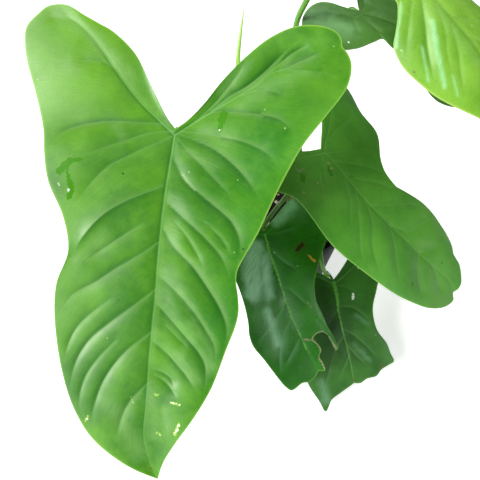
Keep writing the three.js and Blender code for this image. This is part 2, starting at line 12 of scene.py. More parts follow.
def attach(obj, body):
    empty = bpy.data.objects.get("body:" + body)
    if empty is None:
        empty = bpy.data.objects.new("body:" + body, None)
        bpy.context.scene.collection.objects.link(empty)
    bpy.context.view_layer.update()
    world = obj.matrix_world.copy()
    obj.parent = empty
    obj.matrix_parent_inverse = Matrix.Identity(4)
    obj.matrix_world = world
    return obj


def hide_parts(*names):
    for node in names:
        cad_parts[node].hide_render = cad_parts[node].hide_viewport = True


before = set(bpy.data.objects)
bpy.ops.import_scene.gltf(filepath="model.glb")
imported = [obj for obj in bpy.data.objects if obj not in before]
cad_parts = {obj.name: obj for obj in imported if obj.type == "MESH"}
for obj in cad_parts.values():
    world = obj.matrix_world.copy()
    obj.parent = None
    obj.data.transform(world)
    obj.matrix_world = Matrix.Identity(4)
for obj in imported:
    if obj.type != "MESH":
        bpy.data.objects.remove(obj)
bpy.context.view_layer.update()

MM = 0.001
rng = np.random.default_rng(17)

# Camera, from the photograph's perspective
CAMERA_SPOT = (-0.04324, -0.39815, 0.53344)
CAMERA_PITCH = 50
CAMERA_LENS = 42
CAMERA_SENSOR = 36

# Light: a broad key from the left, and softboxes as name, spot, target, size and power
KEY_SPOT = (-0.70, -0.42, 0.58)
KEY_STRENGTH = 4.9
KEY_SPREAD = 32
SOFTBOXES = [
    ("overhead", (0.17, 0.08, 1.30), (0.12, -0.02, 0.31), 0.35, 2.5),
    ("front", (-0.64, -1.2, 0.55), (-0.1, -0.2, 0.15), 0.6, 3.5),
    ("near", (0.70, -0.355, 0.38), (0.0, -0.115, 0.1), 0.3, 0.6),
]
WORLD_STRENGTH = 0.18
FLOOR_REACH = 6
FLOOR_GLOW = 0.6

# Driving dimensions shared with the part's source
POT_TOP_RADIUS = 70
POT_BASE_RADIUS = 49
POT_HEIGHT = 115
POT_WALL = 1.3
POT_FLOOR = 2
LIP_HEIGHT = 8.5
LIP_OVERHANG = 2.6
DRAIN_HOLES = 8
DRAIN_HOLE_RADIUS = 4
DRAIN_CIRCLE_RADIUS = 34
SOIL_LEVEL = 103
STEM_FOOT = (15, 12, 76)
STEM_TOP = (14, 13, 153)
STEM_RADIUS = 8
SCAR_RINGS = 5
STALK_TIP_RADIUS = 1.2
STALK_NECK_LENGTH = 9
SHEATH_LENGTH = 38
SHEATH_SWELL = 0.55
VEIN_SWEEP = 1.6
RIB_SPREAD = 1.35

# Finer detail of stalks, new leaf, pot and soil. The new leaf follows the source, with its tip
# about 4 mm on. Pumice is (x, y, size) where it shows between the leaves.
STALK_END = (-2, 0, -2.9)
STALK_ROUGHNESS = 0.36
NEW_LEAF_RADIUS = 2.3
NEW_LEAF_PATH = [(15, 12, 143), (4, 21, 158), (-20, 26, 188), (-43, 28, 222), (-45, 42, 256),
                 (-39.5, 62, 297)]
TUBE_SEAM = (0.31, 0.87, 0.39)
POT_SIDES = 144
HOLE_SIDES = 24
FOOT_ROUND = 1.2
SOIL_GAP = 0.5
SOIL_RINGS = 64
SOIL_SIDES = 200
LUMP_RISE = 0.46
LUMP_TURN = 0.63
LUMP_FLAT = 0.7
SEEN_PUMICE = [(-4, 14.5, 2.6), (-11, -6.5, 2.4), (-14.5, -16, 2.2)]

# How far the rows of a blade bow, as a share of their length, ahead of the stalk, in the lobe
# and by the notch
ROW_BOW = 0.2
LOBE_BOW = 0.14
NOTCH_BOW = -0.04
NOTCH_SPREAD = 0.95

# Large form of a blade. The droop sinks its right half, from the midrib's side outward.
FOLD_ROUND = 8
DROOP_FROM = 6
DROOP_WIDTH = 55
DROOP_BEHIND = 20
DROOP_EASE = 60

# Thickness and relief. A taper is the way from the margin over which something reaches its full
# measure. A vein's strength starts at VEIN_START, rises along it and fades over its last part.
BLADE_THIN = 0.45
BLADE_THICK = 0.75
THICKNESS_TAPER = 12
KEEL_TAPER = 4
MIDRIB_DEPTH = 2.1
MIDRIB_WIDTH = 2.2
LOBE_RIB_DEPTH = 1.3
LOBE_RIB_WIDTH = 1.6
RIB_RISE = 0.25
FOLD_VALLEY = 1.0
FOLD_WIDTH = 5.0
VEIN_DEPTH_BELOW = 0.6
VEIN_REACH = 1.5
VEIN_ROUND = 0.3
VEIN_START = 0.4
VEIN_RISE = 1.5
VEIN_FADE = 0.35
VEIN_POWER = 0.6
WAVE_START = 0.12
WAVE_STOP = 0.15

# Lines and painted tones on a blade. A valley's wall gets painted light where it faces SHEEN_SIDE,
# the way the key light comes from, and painted shade where it faces away; a groove is a line of
# painted shade beside a rib.
RIB_LINE = 0.55
VEIN_LINE = 0.6
MARGIN_LINE = 0.9
CREASE_REACH = 1.6
SHEEN_SIDE = (-0.77, -0.30, 0.56)
TONE_BRIGHT_REACH = 0.8
TONE_DARK_REACH = 1.6
TONE_FULL = 1.5
CREASE_FULL = 2
JUNCTION_CALM = 12
RIB_FOLD = 0.7
GROOVE_GAP = 1.4
GROOVE_WIDTH = 0.9
GROOVE_TONE = 1.5
CRISP_REACH = 2.4
CRISP_EDGE = 0.35
FAR_OFF = 9.0
OUTSIDE = -20.0

# Leaves. at, tip and roll place the blade's plane; x runs from the stalk to the tip, y to the
# side. veins are (depth, width, route), and a negative depth is a ridge. In each half, shoulder
# and lobe say where on the outline, counted in its points, the rows from the stalk and from the
# lobe's end come out.
leaf_front = dict(
    name="leaf_front", slot="blade_front",
    at=(-91, -76, 269), tip=(-105, -266, 96), roll=0,
    bulge=9, fold=0.17, arch=0.0013, relief=1.9, droop=0.0045, lobe_drop=0.0003, wave=1.4, waves=3.5,
    rows=(230, 84), columns=56,
    midrib=[(0, 0), (44, -4), (77, -6), (119, -7), (160, -9), (199, -10), (222, -11), (240, -7), (257, 0)],
    right=dict(
        outline=[(257, 0), (243, 4), (226, 13), (207, 25), (184, 37), (153, 47), (138, 52), (127, 54),
                 (115, 53), (104, 51), (96, 51.5), (84, 57), (67, 65.5), (48, 73), (27, 82), (3, 94),
                 (-20, 110), (-42, 124), (-58, 126), (-66, 122.5), (-70.5, 118.3), (-75, 117.7), (-80, 114),
                 (-84, 103), (-83, 84), (-74, 65), (-59, 48), (-42, 33), (-24, 20), (-12, 9), (-5, 0)],
        rib=[(0, 0), (-13, 17), (-35, 46), (-50, 66), (-66, 88)], shoulder=14.2, lobe=23.2),
    left=dict(
        outline=[(257, 0), (246, -23), (228, -47), (212, -59), (190, -69), (150, -78), (114, -79),
                 (88, -71), (64, -76), (39, -89), (20, -94), (1, -97), (-27, -106), (-53, -115),
                 (-72, -117), (-78, -115), (-86, -107), (-91, -101), (-93, -92), (-92, -84), (-86, -73),
                 (-80, -61), (-75, -51), (-59, -33), (-33, -18), (-12, -6), (-5, 0)],
        rib=[(0, 0), (-9, -11), (-41, -41), (-62, -59), (-77, -77)], shoulder=8.2, lobe=18),
    lobe_ribs=[
        [(0, 0), (-9, -10.5), (-23.5, -27), (-46, -46.5), (-56, -54), (-68, -64), (-77, -74), (-82, -82),
         (-83, -97)],
        [(0, 0), (-18, 25), (-30, 43.5), (-40, 58), (-47, 65.5), (-51, 74), (-51.5, 84), (-51, 98),
         (-49, 110), (-41, 123)]],
    veins=[
        (0.4, 5, [(-47, -47), (-51, -55), (-52, -63), (-52, -80)]),
        (1.3, 5, [(-8, -10), (-8, -26), (-8, -44), (-6, -60), (0, -79), (7, -87), (16, -90)]),
        (0.5, 6, [(-3, -2), (0, -20), (7, -38), (12, -51), (21, -67)]),
        (0.7, 6, [(1, -2), (12, -24), (19, -36), (25, -46), (40, -59), (55, -67)]),
        (-1.3, 4, [(38, -6), (43, -17), (51, -33), (60, -46), (71, -56), (83, -64), (93, -68)]),
        (0.7, 5, [(67, -20), (77, -35), (86, -47), (98, -63)]),
        (1.0, 6, [(79, -7), (90, -22), (99, -36), (110, -51), (120, -67), (133, -75)]),
        (0.9, 5, [(122, -39), (133, -53), (144, -63), (157, -69), (171, -71)]),
        (1.4, 5, [(113, -7), (127, -24), (139, -39), (152, -53), (167, -62), (185, -66), (195, -65)]),
        (0.9, 4, [(152, -34), (164, -45), (177, -54), (193, -59), (206, -58)]),
        (1.4, 5, [(145, -9), (156, -23), (170, -35), (187, -44), (208, -49), (218, -47)]),
        (0.9, 4, [(182, -9), (195, -21), (204, -26), (215, -29), (225, -30)]),
        (2.2, 6, [(-19, 25), (-31, 39), (-38, 50), (-47, 60.5), (-54.5, 67.5), (-61, 73.5), (-69, 82),
                  (-73, 88)]),
        (1.6, 3, [(-49, 66), (-58, 75.5), (-64, 82.5), (-69, 91), (-71, 97)]),
        (1.4, 3, [(-51, 74), (-54, 81), (-58, 88), (-63, 99), (-65, 105)]),
        (1.0, 5, [(-8, 11), (-22, 25), (-33, 34), (-46, 43), (-59, 51)]),
        (0.5, 5, [(-31, 46), (-36, 61), (-32, 81)]),
        (1.2, 6, [(-11, 15), (-18, 25), (-19, 40), (-17, 67), (-14, 77), (-1, 90)]),
        (1.0, 6, [(-3, 5), (-2, 23), (4, 55), (13, 72), (21, 78)]),
        (1.8, 6, [(-1, 3), (8, 27), (17, 41), (26, 51), (44, 66)]),
        (0.8, 5, [(2, 2), (10, 9), (25, 25), (45, 46)]),
        (1.9, 6, [(18, 1), (32, 9), (42, 21), (54, 37), (61, 45), (75, 52), (93, 52)]),
        (1.1, 5, [(49, -3), (59, 9), (75, 28), (88, 40), (102, 47)]),
        (0.6, 4, [(62, 26), (73, 38), (86, 47)]),
        (0.6, 4, [(63, 4), (73, 13), (90, 24), (98, 28)]),
        (1.8, 6, [(69, -4), (81, 4), (95, 19), (109, 30), (124, 40), (139, 46), (157, 45)]),
        (1.2, 5, [(104, -4), (112, 6), (126, 20), (141, 31), (153, 38), (169, 39)]),
        (1.3, 5, [(123, -6), (132, 3), (146, 16), (158, 27), (168, 32), (190, 32)]),
        (0.5, 3.5, [(139, 2), (144, 7), (156, 20)]),
        (0.9, 4, [(151, -7), (160, 4), (170, 14), (187, 28)]),
        (0.9, 3, [(171, -7), (175, 3), (178, 7), (187, 11)]),
        (0.6, 2.5, [(176, -5), (181, 3), (193, 14)])],
    stalk=dict(
        radius=2.9, approach=(2, 7, -8), seat=(-5.2, 0, -3.35),
        path=[(15, 12, 134), (3, 11, 144), (-3, 10, 165), (-8, 6, 205), (-40, -24, 244), (-72, -60, 256)]))

leaf_right = dict(
    name="leaf_right", slot="blade_right",
    at=(33, -17, 201), tip=(154, -109, 97), roll=0,
    bulge=8, fold=0.12, arch=0.0022, relief=1.3, droop=0.0, lobe_drop=0.0006, wave=1.0, waves=3,
    rows=(190, 56), columns=38,
    midrib=[(0, 0), (16, -1), (41, -4), (64, -5), (87, -3), (108, 0), (127, 3), (153, 10), (168, 13),
            (179, 10)],
    right=dict(
        outline=[(179, 10), (181, 17), (180, 24), (176, 29), (167, 36), (160, 37), (155, 38), (149, 43),
                 (136, 47), (126, 48), (114, 49), (96, 46), (85, 40), (75, 34), (62, 33), (51, 35),
                 (40, 42), (21, 65), (-1, 72), (-26, 88), (-46, 90), (-54, 76), (-50, 62), (-34, 38),
                 (-19, 21), (-5, 0)],
        rib=[(0, 0), (-11, 20), (-24, 42), (-38, 66)], shoulder=15, lobe=21),
    left=dict(
        outline=[(179, 10), (181, 7), (183, 5), (183, 0), (177, -14), (164, -29), (149, -39), (129, -49),
                 (94, -59), (61, -65), (31, -62), (8, -60), (-6, -66), (-24, -65), (-33, -52), (-27, -32),
                 (-14, -16), (-5, 0)],
        rib=[(0, 0), (-8, -22), (-16, -38), (-23, -50)], shoulder=9.7, lobe=13.6),
    lobe_ribs=[
        [(0, 0), (-6, 10), (-11, 21), (-16, 30), (-26, 49), (-38, 66)],
        [(0, 0), (-7, -15), (-11, -23), (-16, -38)]],
    veins=[
        (0.8, 5, [(-6, 13), (-7, 25), (-6, 51), (-4, 67)]),
        (0.8, 5, [(0, -2), (9, 13), (16, 23), (25, 39)]),
        (0.7, 5, [(1, -6), (14, -20), (28, -34)]),
        (0.5, 5, [(12, -25), (18, -30), (25, -37)]),
        (0.6, 5, [(27, -3), (46, -21), (56, -34), (63, -43)]),
        (1.0, 5, [(54, -4), (73, -18), (86, -35), (104, -46), (113, -48)]),
        (0.8, 5, [(42, -4), (65, -30), (84, -50), (99, -52)]),
        (0.9, 5, [(86, -3), (104, -17), (113, -27), (130, -40)]),
        (1.8, 5, [(127, 2), (131, -7), (138, -16), (147, -24), (153, -31)]),
        (0.8, 4, [(143, 7), (149, 6), (162, -1), (172, -7)]),
        (0.7, 5, [(24, 0), (36, 4), (53, 19), (74, 31)]),
        (0.6, 5, [(10, 0), (22, 11), (46, 30), (58, 30)]),
        (0.7, 5, [(62, -4), (74, 11), (85, 27), (105, 47)]),
        (0.9, 5, [(88, -2), (103, 8), (110, 32), (117, 46)]),
        (0.7, 4, [(124, 3), (130, 12), (135, 23), (141, 38)])],
    stalk=dict(
        radius=2.4, approach=(-1, 1, -9), seat=(-2.5, 0, -2.5),
        path=[(15, 12, 127), (20, 1, 136), (25, -5, 160), (28, -5, 182)]))

leaf_low_left = dict(
    name="leaf_low_left", slot="blade_low_left",
    at=(-20, -65, 144), tip=(33, -166, 46), roll=0,
    bulge=7, fold=0.1, arch=0.0026, relief=1.1, droop=0.0, lobe_drop=0.0008, wave=1.2, waves=3,
    rows=(180, 50), columns=34,
    midrib=[(0, 0), (18, -3), (37, -4), (59, -6), (82, -6), (112, -3), (137, 2)],
    right=dict(
        outline=[(137, 2), (139, 8), (131, 8), (124, 6), (119, 10), (113, 9), (107, 5), (103, 9), (103, 16),
                 (108, 21), (116, 23), (126, 25), (125, 28), (108, 25), (87, 23), (73, 22), (59, 26),
                 (41, 40), (24, 56), (6, 66), (-10, 72), (-22, 66), (-22, 48), (-20, 33), (-11, 15),
                 (-4, 0)],
        rib=[(0, 0), (-5, 20), (-9, 38), (-15, 54)], shoulder=17.4, lobe=21.6),
    left=dict(
        outline=[(137, 2), (141, -4), (142, -11), (140, -17), (142, -29), (137, -33), (130, -36),
                 (104, -44), (89, -49), (78, -49), (67, -46), (44, -43), (18, -43), (0, -44), (-18, -41),
                 (-30, -31), (-28, -17), (-16, -6), (-4, 0)],
        rib=[(0, 0), (-7, -14), (-14, -24), (-21, -31)], shoulder=11.6, lobe=15),
    lobe_ribs=[
        [(0, 0), (-3, 8), (-6, 17), (-10, 26), (-13, 34)],
        [(0, 0), (-7, -14), (-14, -24), (-21, -31)]],
    veins=[
        (0.6, 5, [(0, 1), (2, 11), (4, 35)]),
        (0.7, 5, [(12, -2), (26, 4), (43, 16)]),
        (0.6, 5, [(49, -4), (56, 2), (78, 13)]),
        (1.0, 5, [(0, -2), (8, -14), (16, -24), (24, -31)]),
        (1.0, 5, [(13, -4), (30, -12), (48, -27), (54, -36)]),
        (1.0, 5, [(30, -5), (44, -24), (53, -34), (61, -40)]),
        (1.3, 5, [(62, -5), (72, -19), (81, -35), (88, -47)]),
        (1.2, 5, [(79, -6), (87, -18), (97, -25), (120, -34), (127, -35)]),
        (1.0, 5, [(99, -5), (110, -19), (119, -30)])],
    stalk=dict(
        radius=2.2, approach=(-10, 7, -5), seat=(-4.9, 0, -3.3),
        path=[(15, 12, 124), (7, 1, 131), (-1, -14, 136), (-9, -31, 142)]))

leaf_low_right = dict(
    name="leaf_low_right", slot="blade_low_right",
    at=(52, -68, 71), tip=(71, -165, 16), roll=0,
    bulge=5, fold=0.1, arch=0.0026, relief=1.2, droop=0.0, lobe_drop=0.0008, wave=1.0, waves=2.5,
    rows=(140, 44), columns=34,
    midrib=[(0, 0), (30, -2), (48, -2), (64, -1), (84, 0), (99, 0)],
    right=dict(
        outline=[(99, 0), (100, 6), (97, 13), (96, 23), (91, 29), (88, 37), (85, 44), (77, 42), (67, 40),
                 (53, 33), (40, 32), (29, 34), (13, 42), (-3, 49), (-20, 49), (-31, 40), (-30, 28),
                 (-20, 17), (-11, 8), (-4, 0)],
        rib=[(0, 0), (-8, 14), (-14, 26), (-20, 36)], shoulder=11.6, lobe=15.2),
    left=dict(
        outline=[(99, 0), (103, -9), (107, -18), (111, -25), (121, -32), (110, -37), (92, -45), (60, -50),
                 (29, -51), (8, -50), (-6, -45), (-14, -35), (-15, -23), (-15, -14), (-9, -6), (-4, 0)],
        rib=[(0, 0), (-4, -13), (-7, -23), (-9, -32)], shoulder=8, lobe=11.2),
    lobe_ribs=[
        [(0, 0), (-4, 8), (-9, 16), (-15, 25), (-21, 35)],
        [(0, 0), (-5, -8), (-9, -13), (-11, -26)]],
    veins=[
        (0.5, 4, [(1, -1), (0, -7), (0, -17)]),
        (0.6, 4, [(1, 0), (4, 9), (16, 23)]),
        (0.7, 4, [(23, 1), (27, 14), (48, 31)]),
        (0.7, 4, [(47, 1), (56, 11), (81, 29)]),
        (0.7, 4, [(62, 0), (75, 8), (84, 15)]),
        (0.8, 4, [(23, 0), (37, -13), (49, -20)]),
        (0.8, 4, [(51, 0), (60, -10), (75, -19), (104, -32)]),
        (0.6, 4, [(72, 0), (83, -8), (93, -15)])],
    stalk=dict(
        radius=2, approach=(-12, -4, -1.5), seat=(-4.9, 0, -2.95),
        path=[(15, 12, 115), (20, -6, 122), (26, -38, 125), (32, -62, 122), (36, -75, 107), (43, -71, 89)]))

leaf_back = dict(
    name="leaf_back", slot="blade_back",
    at=(67, 79, 281), tip=(164, 16, 235), roll=-15,
    bulge=6, fold=0.1, arch=0.002, relief=1.5, droop=0.0, lobe_drop=0.0008, wave=1.2, waves=2.5,
    rows=(150, 44), columns=32,
    midrib=[(0, 0), (11, 4), (25, 8), (37, 9), (64, 7), (95, 3), (124, 0)],
    right=dict(
        outline=[(124, 0), (120, 13), (108, 27), (90, 38), (68, 44), (46, 45), (28, 46), (10, 53), (-8, 57),
                 (-24, 52), (-33, 42), (-28, 28), (-17, 13), (-4, 0)],
        rib=[(0, 0), (-7, 15), (-15, 29), (-22, 41)], shoulder=5.6, lobe=10),
    left=dict(
        outline=[(124, 0), (121, -15), (113, -25), (99, -31), (84, -28), (68, -18), (52, -14), (39, -15),
                 (29, -13), (25, -21), (17, -38), (3, -51), (-15, -58), (-30, -51), (-39, -38), (-40, -25),
                 (-36, -16), (-29, -11), (-18, -7), (-4, 0)],
        rib=[(0, 0), (-7, -13), (-14, -25), (-21, -37)], shoulder=8.6, lobe=13.4),
    lobe_ribs=[
        [(0, 0), (-7, 15), (-15, 29), (-22, 41)],
        [(0, 0), (-4, -9), (-13, -12), (-20, -17), (-29, -21), (-32, -27)]],
    veins=[
        (0.7, 3.5, [(-16, -15), (-20, -20), (-20, -28), (-18, -34)]),
        (0.7, 4, [(-5, -9), (0, -14), (12, -24)]),
        (0.9, 5, [(-1, -2), (6, -5), (15, -7), (30, -9)]),
        (0.6, 4, [(-2, 0), (-7, 5), (-11, 8)]),
        (0.6, 4, [(-2, 2), (-2, 8), (-3, 15)]),
        (0.7, 4, [(25, 8), (36, 20), (50, 38)]),
        (0.7, 4, [(50, 8), (64, 20), (78, 34)]),
        (0.7, 4, [(74, 6), (88, 16), (98, 26)]),
        (0.7, 4, [(64, 7), (80, -6), (98, -22)])],
    stalk=dict(
        radius=2.2, approach=(-12, 0, -6), seat=(-4.7, 0, -3.0),
        path=[(15, 12, 133), (28, 20, 140), (42, 34, 152), (50, 52, 163), (58, 76, 178), (62, 92, 198),
              (58, 98, 226), (59, 96, 256)]))

leaf_young = dict(
    name="leaf_young", slot="blade_young",
    at=(90, 30, 338), tip=(161, -81, 271), roll=0,
    bulge=7, fold=-0.12, arch=0.0012, relief=1.3, droop=0.0, lobe_drop=0.0006, wave=1.0, waves=2.5,
    rows=(170, 46), columns=36,
    midrib=[(0, 0), (24, 0), (51, 2), (81, 4), (101, -1), (123, -3), (147, 0)],
    right=dict(
        outline=[(147, 0), (140, 11), (127, 22), (111, 32), (95, 38), (78, 42), (62, 43), (47, 39),
                 (34, 34), (22, 31), (12, 32), (0, 38), (-12, 45), (-26, 47), (-37, 41), (-40, 29),
                 (-33, 17), (-19, 8), (-5, 0)],
        rib=[(0, 0), (-7, 10), (-15, 21), (-24, 32)], shoulder=9, lobe=14),
    left=dict(
        outline=[(147, 0), (136, -15), (122, -26), (108, -37), (94, -46), (78, -52), (63, -55), (47, -52),
                 (36, -43), (25, -34), (15, -29), (5, -33), (-8, -42), (-22, -46), (-34, -42), (-40, -30),
                 (-34, -18), (-20, -9), (-5, 0)],
        rib=[(0, 0), (-7, -10), (-15, -21), (-24, -32)], shoulder=9, lobe=14),
    lobe_ribs=[
        [(0, 0), (-7, 10), (-15, 21), (-24, 32)],
        [(0, 0), (-7, -10), (-15, -21), (-24, -32)]],
    veins=[
        (2.8, 5, [(10, -2), (23, -11), (42, -21), (56, -29), (80, -40), (86, -41)]),
        (0.6, 4, [(2, -2), (13, -11), (28, -25), (53, -45), (63, -49)]),
        (0.9, 5, [(50, -3), (70, -11), (87, -20), (104, -28)]),
        (0.8, 5, [(36, 0), (45, 4), (52, 19), (56, 23)]),
        (0.6, 4, [(30, -3), (53, -11), (67, -19), (89, -29)]),
        (0.7, 5, [(62, 3), (76, 16), (92, 32)]),
        (0.7, 5, [(86, 3), (100, 12), (114, 24)]),
        (0.7, 5, [(84, 3), (104, -12), (124, -22)]),
        (0.6, 5, [(6, 2), (18, 14), (30, 26)])],
    stalk=dict(
        radius=2.5, approach=(-12, 0, -6), seat=(-5.2, 0, -3.2),
        path=[(15, 12, 139), (17, 26, 150), (10, 50, 215), (6.5, 69, 272), (13.5, 60, 303), (26, 55, 334),
              (45, 52, 355), (66, 46, 358), (80, 40, 350)]))

LEAVES = [leaf_front, leaf_right, leaf_low_left, leaf_low_right, leaf_back, leaf_young]

# Marks on the blades: kind, colour, strength, roughness it turns to (or 0), softness of its edge
MARK_KINDS = [
    # A painted shadow, cast by a neighbouring blade
    ("painted_shadow", "0c3008", 0.8, 0, 6),
    # Painted reflections of the glossy skin: hazy gloss, sheen and a painted highlight streak
    ("painted_reflection", "76a05a", 0.42, 0, 5),
    ("painted_gloss_haze", "66966c", 0.8, 0, 4),
    ("painted_wide_sheen", "7fae80", 0.4, 0, 8),
    ("sheen", "a0d6ac", 0.85, 0, 4),
    ("gleam", "aef0bc", 0.45, 0.2, 1.5),
    # Painted light along the right lobe's margin, and a painted glint
    ("bright", "6cac3a", 0.35, 0, 7),
    ("glint", "88a870", 0.9, 0, 1),
    # The leaves' own colours: a pale rib and a wet film
    ("stout rib", "6cb848", 0.8, 0, 0),
    ("wet", "3c7c14", 0.85, 0.15, 0),
    # A painted sparkle: highlights on water drops
    ("sparkle", "ffffff", 0.8, 0.05, 0),
    # The leaves' own marks
    ("pale", "b4d68c", 0.7, 0, 0),
    ("beige", "94906a", 0.8, 0, 0),
    ("lime", "9cc04c", 0.75, 0, 0),
    ("fleck", "e6ebc0", 0.95, 0, 0),
    ("amber", "d8a038", 0.9, 0, 0),
    ("brown", "5c4c24", 0.85, 0, 0),
    ("black", "1a1c10", 0.85, 0, 0),
]

# Edges of the marks. A soft kind's edge and its breaks grow with its softness.
SPOT_EDGE = (1.15, 0.75)
SPOT_RAGGED = 2.4
SPOT_NOISE_SCALE = 0.35
TRAIL_UNEVEN = 0.6
TRAIL_NOISE = (450, 2)
TRAIL_EDGE = (-0.25, 0.35)
SOFT_BREAK = 1.8
SOFT_NOISE = (110, 4)
SOFT_EDGE = (-0.2, 2)
SOFT_LINES = (0.3, 0.65, 0.45, 1.0)

# Skin of the blades: noises are (scale, detail), ranges are the part of a noise that is used,
# and contrasts are (share, darker grey, lighter grey)
NOISE_MIDDLE = (0.3, 0.7)
BLOTCH_NOISE = (26, 4)
BLOTCH_RANGE = (0.35, 0.68)
DAPPLE_NOISE = (140, 3)
DAPPLE_RANGE = (0.42, 0.66)
DAPPLE_SHARE = 0.25
LINE_STRETCH = (230, 4, 1)
LINE_CONTRAST = (0.5, 0.42, 0.58)
FINE_NOISE = (900, 2)
FINE_CONTRAST = (0.6, 0.35, 0.65)
STREAK_CONTRAST = (0.4, 0.3, 0.7)
GLOSS_NOISE = (60, 3)
GLOSS_CHANGE = (-0.04, 0.06)
VEIN_SHARE = 0.3
MARGIN_SHARE = 0.6
UNDER_SHARE = 0.5
LINE_HEIGHT = 0.6
FINE_HEIGHT = 0.25
LEAF_BUMP = 0.00016

# Where painted light brightens the front blade's left lobe and painted shade darkens its right
# half, along and across the blade
PAINTED_LIGHT_ALONG = (60, -60)
PAINTED_LIGHT_SIDEWAYS = (10, -60)
PAINTED_SHADE_ALONG = (-60, 20, 0.15, 1.0)
PAINTED_SHADE_SIDEWAYS = (6, 60)

# Look of each blade: colours, strengths of its painted tones, and its marks by kind, in the blade's
# plane. Its darkest colour is painted shade in creases and on vein walls, and pale is painted light
# on vein walls. marks are round spots (x, y, radius) and trails are (radius, route).
LOOKS = {}
LOOKS["leaf_front"] = dict(
    deep="337010", light="518c19", shade_tint="18580f", vein="72ac5c", margin="8fbe4a", under="548437",
    # lobe and far are the colours of painted light on the left lobe and of painted shade on the right half,
    # each followed by its strength
    roughness=0.37, shine=0.4, lobe="6a9f20", glow=0.45, far="1c6c0a", painted_half_shade=0.6, pale="759b50", shadow=0.85,
    painted_wall_light=0.4, crease_and_shade=0.85, rib=0.6,
    marks={
        # a painted sparkle on a drop, then the leaf's own spots
        "sparkle": [(-5, 33, 0.6)],
        "black": [(30.5, -35, 0.7), (122, -33, 0.7), (80.5, 55, 0.8)],
        "beige": [(-36.5, -105, 1.0), (150.5, -40, 0.7)],
        "pale": [(26.5, 12, 0.5), (30.5, 48, 0.5), (83, 48.5, 0.5), (-21.5, 64.5, 0.5), (-8.5, 80, 0.5),
            (-70, 112, 0.5)],
        "brown": [(248.5, -5.5, 1.1)]},
    trails={
        # painted glint, painted reflections and painted light along the right lobe's margin, then wet
        # films, a painted sparkle on a drop and the leaf's own marks
        "glint": [(0.8, [(28, 7), (33, 11), (39, 17)])],
        "painted_reflection": [(4, [(91, -59), (77, -45)]), (6, [(200, -36), (219, -25), (235, -14)]),
            (2, [(114, 11), (125, 19)]), (3, [(163, 14), (177, 27)]), (4, [(-4, 19), (2, 40)]),
            (2.5, [(12, 10), (22, 31)]), (2.5, [(46, 1), (56, 12)]), (2, [(64, 2), (73, 9)]),
            (1.5, [(77, 0), (92, 16)]), (4, [(-41, 66), (-43, 80)]), (5, [(-24, 47), (-34, 62)]),
            (2, [(-54, 78), (-63, 95)]), (2.5, [(-34, 34), (-55, 51)]),
            (5, [(-83, -89), (-74, -71), (-63, -59)]), (2, [(-59, -50), (-42, -35)]),
            (4, [(-47, -83), (-44, -76)]), (3, [(-3, -43), (2, -39)]), (3, [(73, -45), (93, -64)]),
            (2.5, [(205, -23), (224, -28)]), (2.5, [(98, -1), (120, 3)]),
            (3, [(135, 21), (154, 34), (168, 37)]), (3, [(191, -6), (222, -4)]), (3, [(202, 4), (217, 7)])],
        "bright": [(5, [(-69, 77), (-72, 91), (-73, 103)]),
            (5, [(-35, 122), (-16, 109), (0, 91), (18, 81)])],
        "wet": [(2.8, [(31, -81), (27, -78), (23, -74)]), (1.6, [(23, -74), (22, -67)]),
            (1.3, [(29, -76), (37, -74)]), (2.0, [(39, -73), (45, -71)]), (1.8, [(47, -72), (50, -73)]),
            (3.2, [(-17, 35), (-12, 34)]), (1.8, [(-12, 34), (-7, 33)]), (1.0, [(-7, 33), (-4, 33)])],
        "sparkle": [(0.35, [(42, -74.5), (44, -73), (46, -73.5)])],
        "pale": [(0.8, [(40, -81), (43, -80.5)])],
        "lime": [(0.8, [(209.5, -52.5), (213, -54)]), (0.6, [(194, -21.5), (197, -20)]),
            (0.7, [(190.5, -6), (191, -2)]), (0.8, [(195.5, 8), (197, 14.5)]),
            (0.8, [(220, -1.5), (221, 1.5)]), (1.1, [(210.5, 15), (219.5, 12)])],
        "fleck": [(0.5, [(210.5, -53), (212.5, -53.3)]), (0.3, [(195, 8), (196, 10)]),
            (0.6, [(196, 13), (197, 14.5)]), (0.5, [(220.5, -1), (221, 1)]),
            (0.7, [(212, 14.5), (219, 12.5)])]})
LOOKS["leaf_right"] = dict(
    deep="3e8518", light="519626", shade_tint="296a0f", vein="7ab750", margin="89bb54", under="699b44",
    roughness=0.42, shine=0.5, pale="6c9c50", shadow=0.3, painted_wall_light=0.25, crease_and_shade=0.4, rib=0.45,
    marks={
        "beige": [(8.5, -6, 1.3), (13.5, -8.5, 1.5), (14, -32, 0.8), (11, -50.5, 1.4), (88.5, -3, 0.7),
            (107.5, 36.5, 0.8)],
        "wet": [(31.5, 2.5, 1.4), (137.5, -27.5, 1.6), (150, 18, 1.0)]},
    trails={
        # painted reflections beside two veins near the tip
        "painted_reflection": [(1.6, [(136, -6), (148, -19)]), (2, [(121, 11), (129, 21)])],
        "beige": [(0.5, [(-9, -35.5), (-7, -37.5), (-4.5, -36.5), (-3, -31)])],
        "wet": [(2.6, [(0, -38), (3, -41)]), (2.2, [(12, -10), (17, -14)])]})
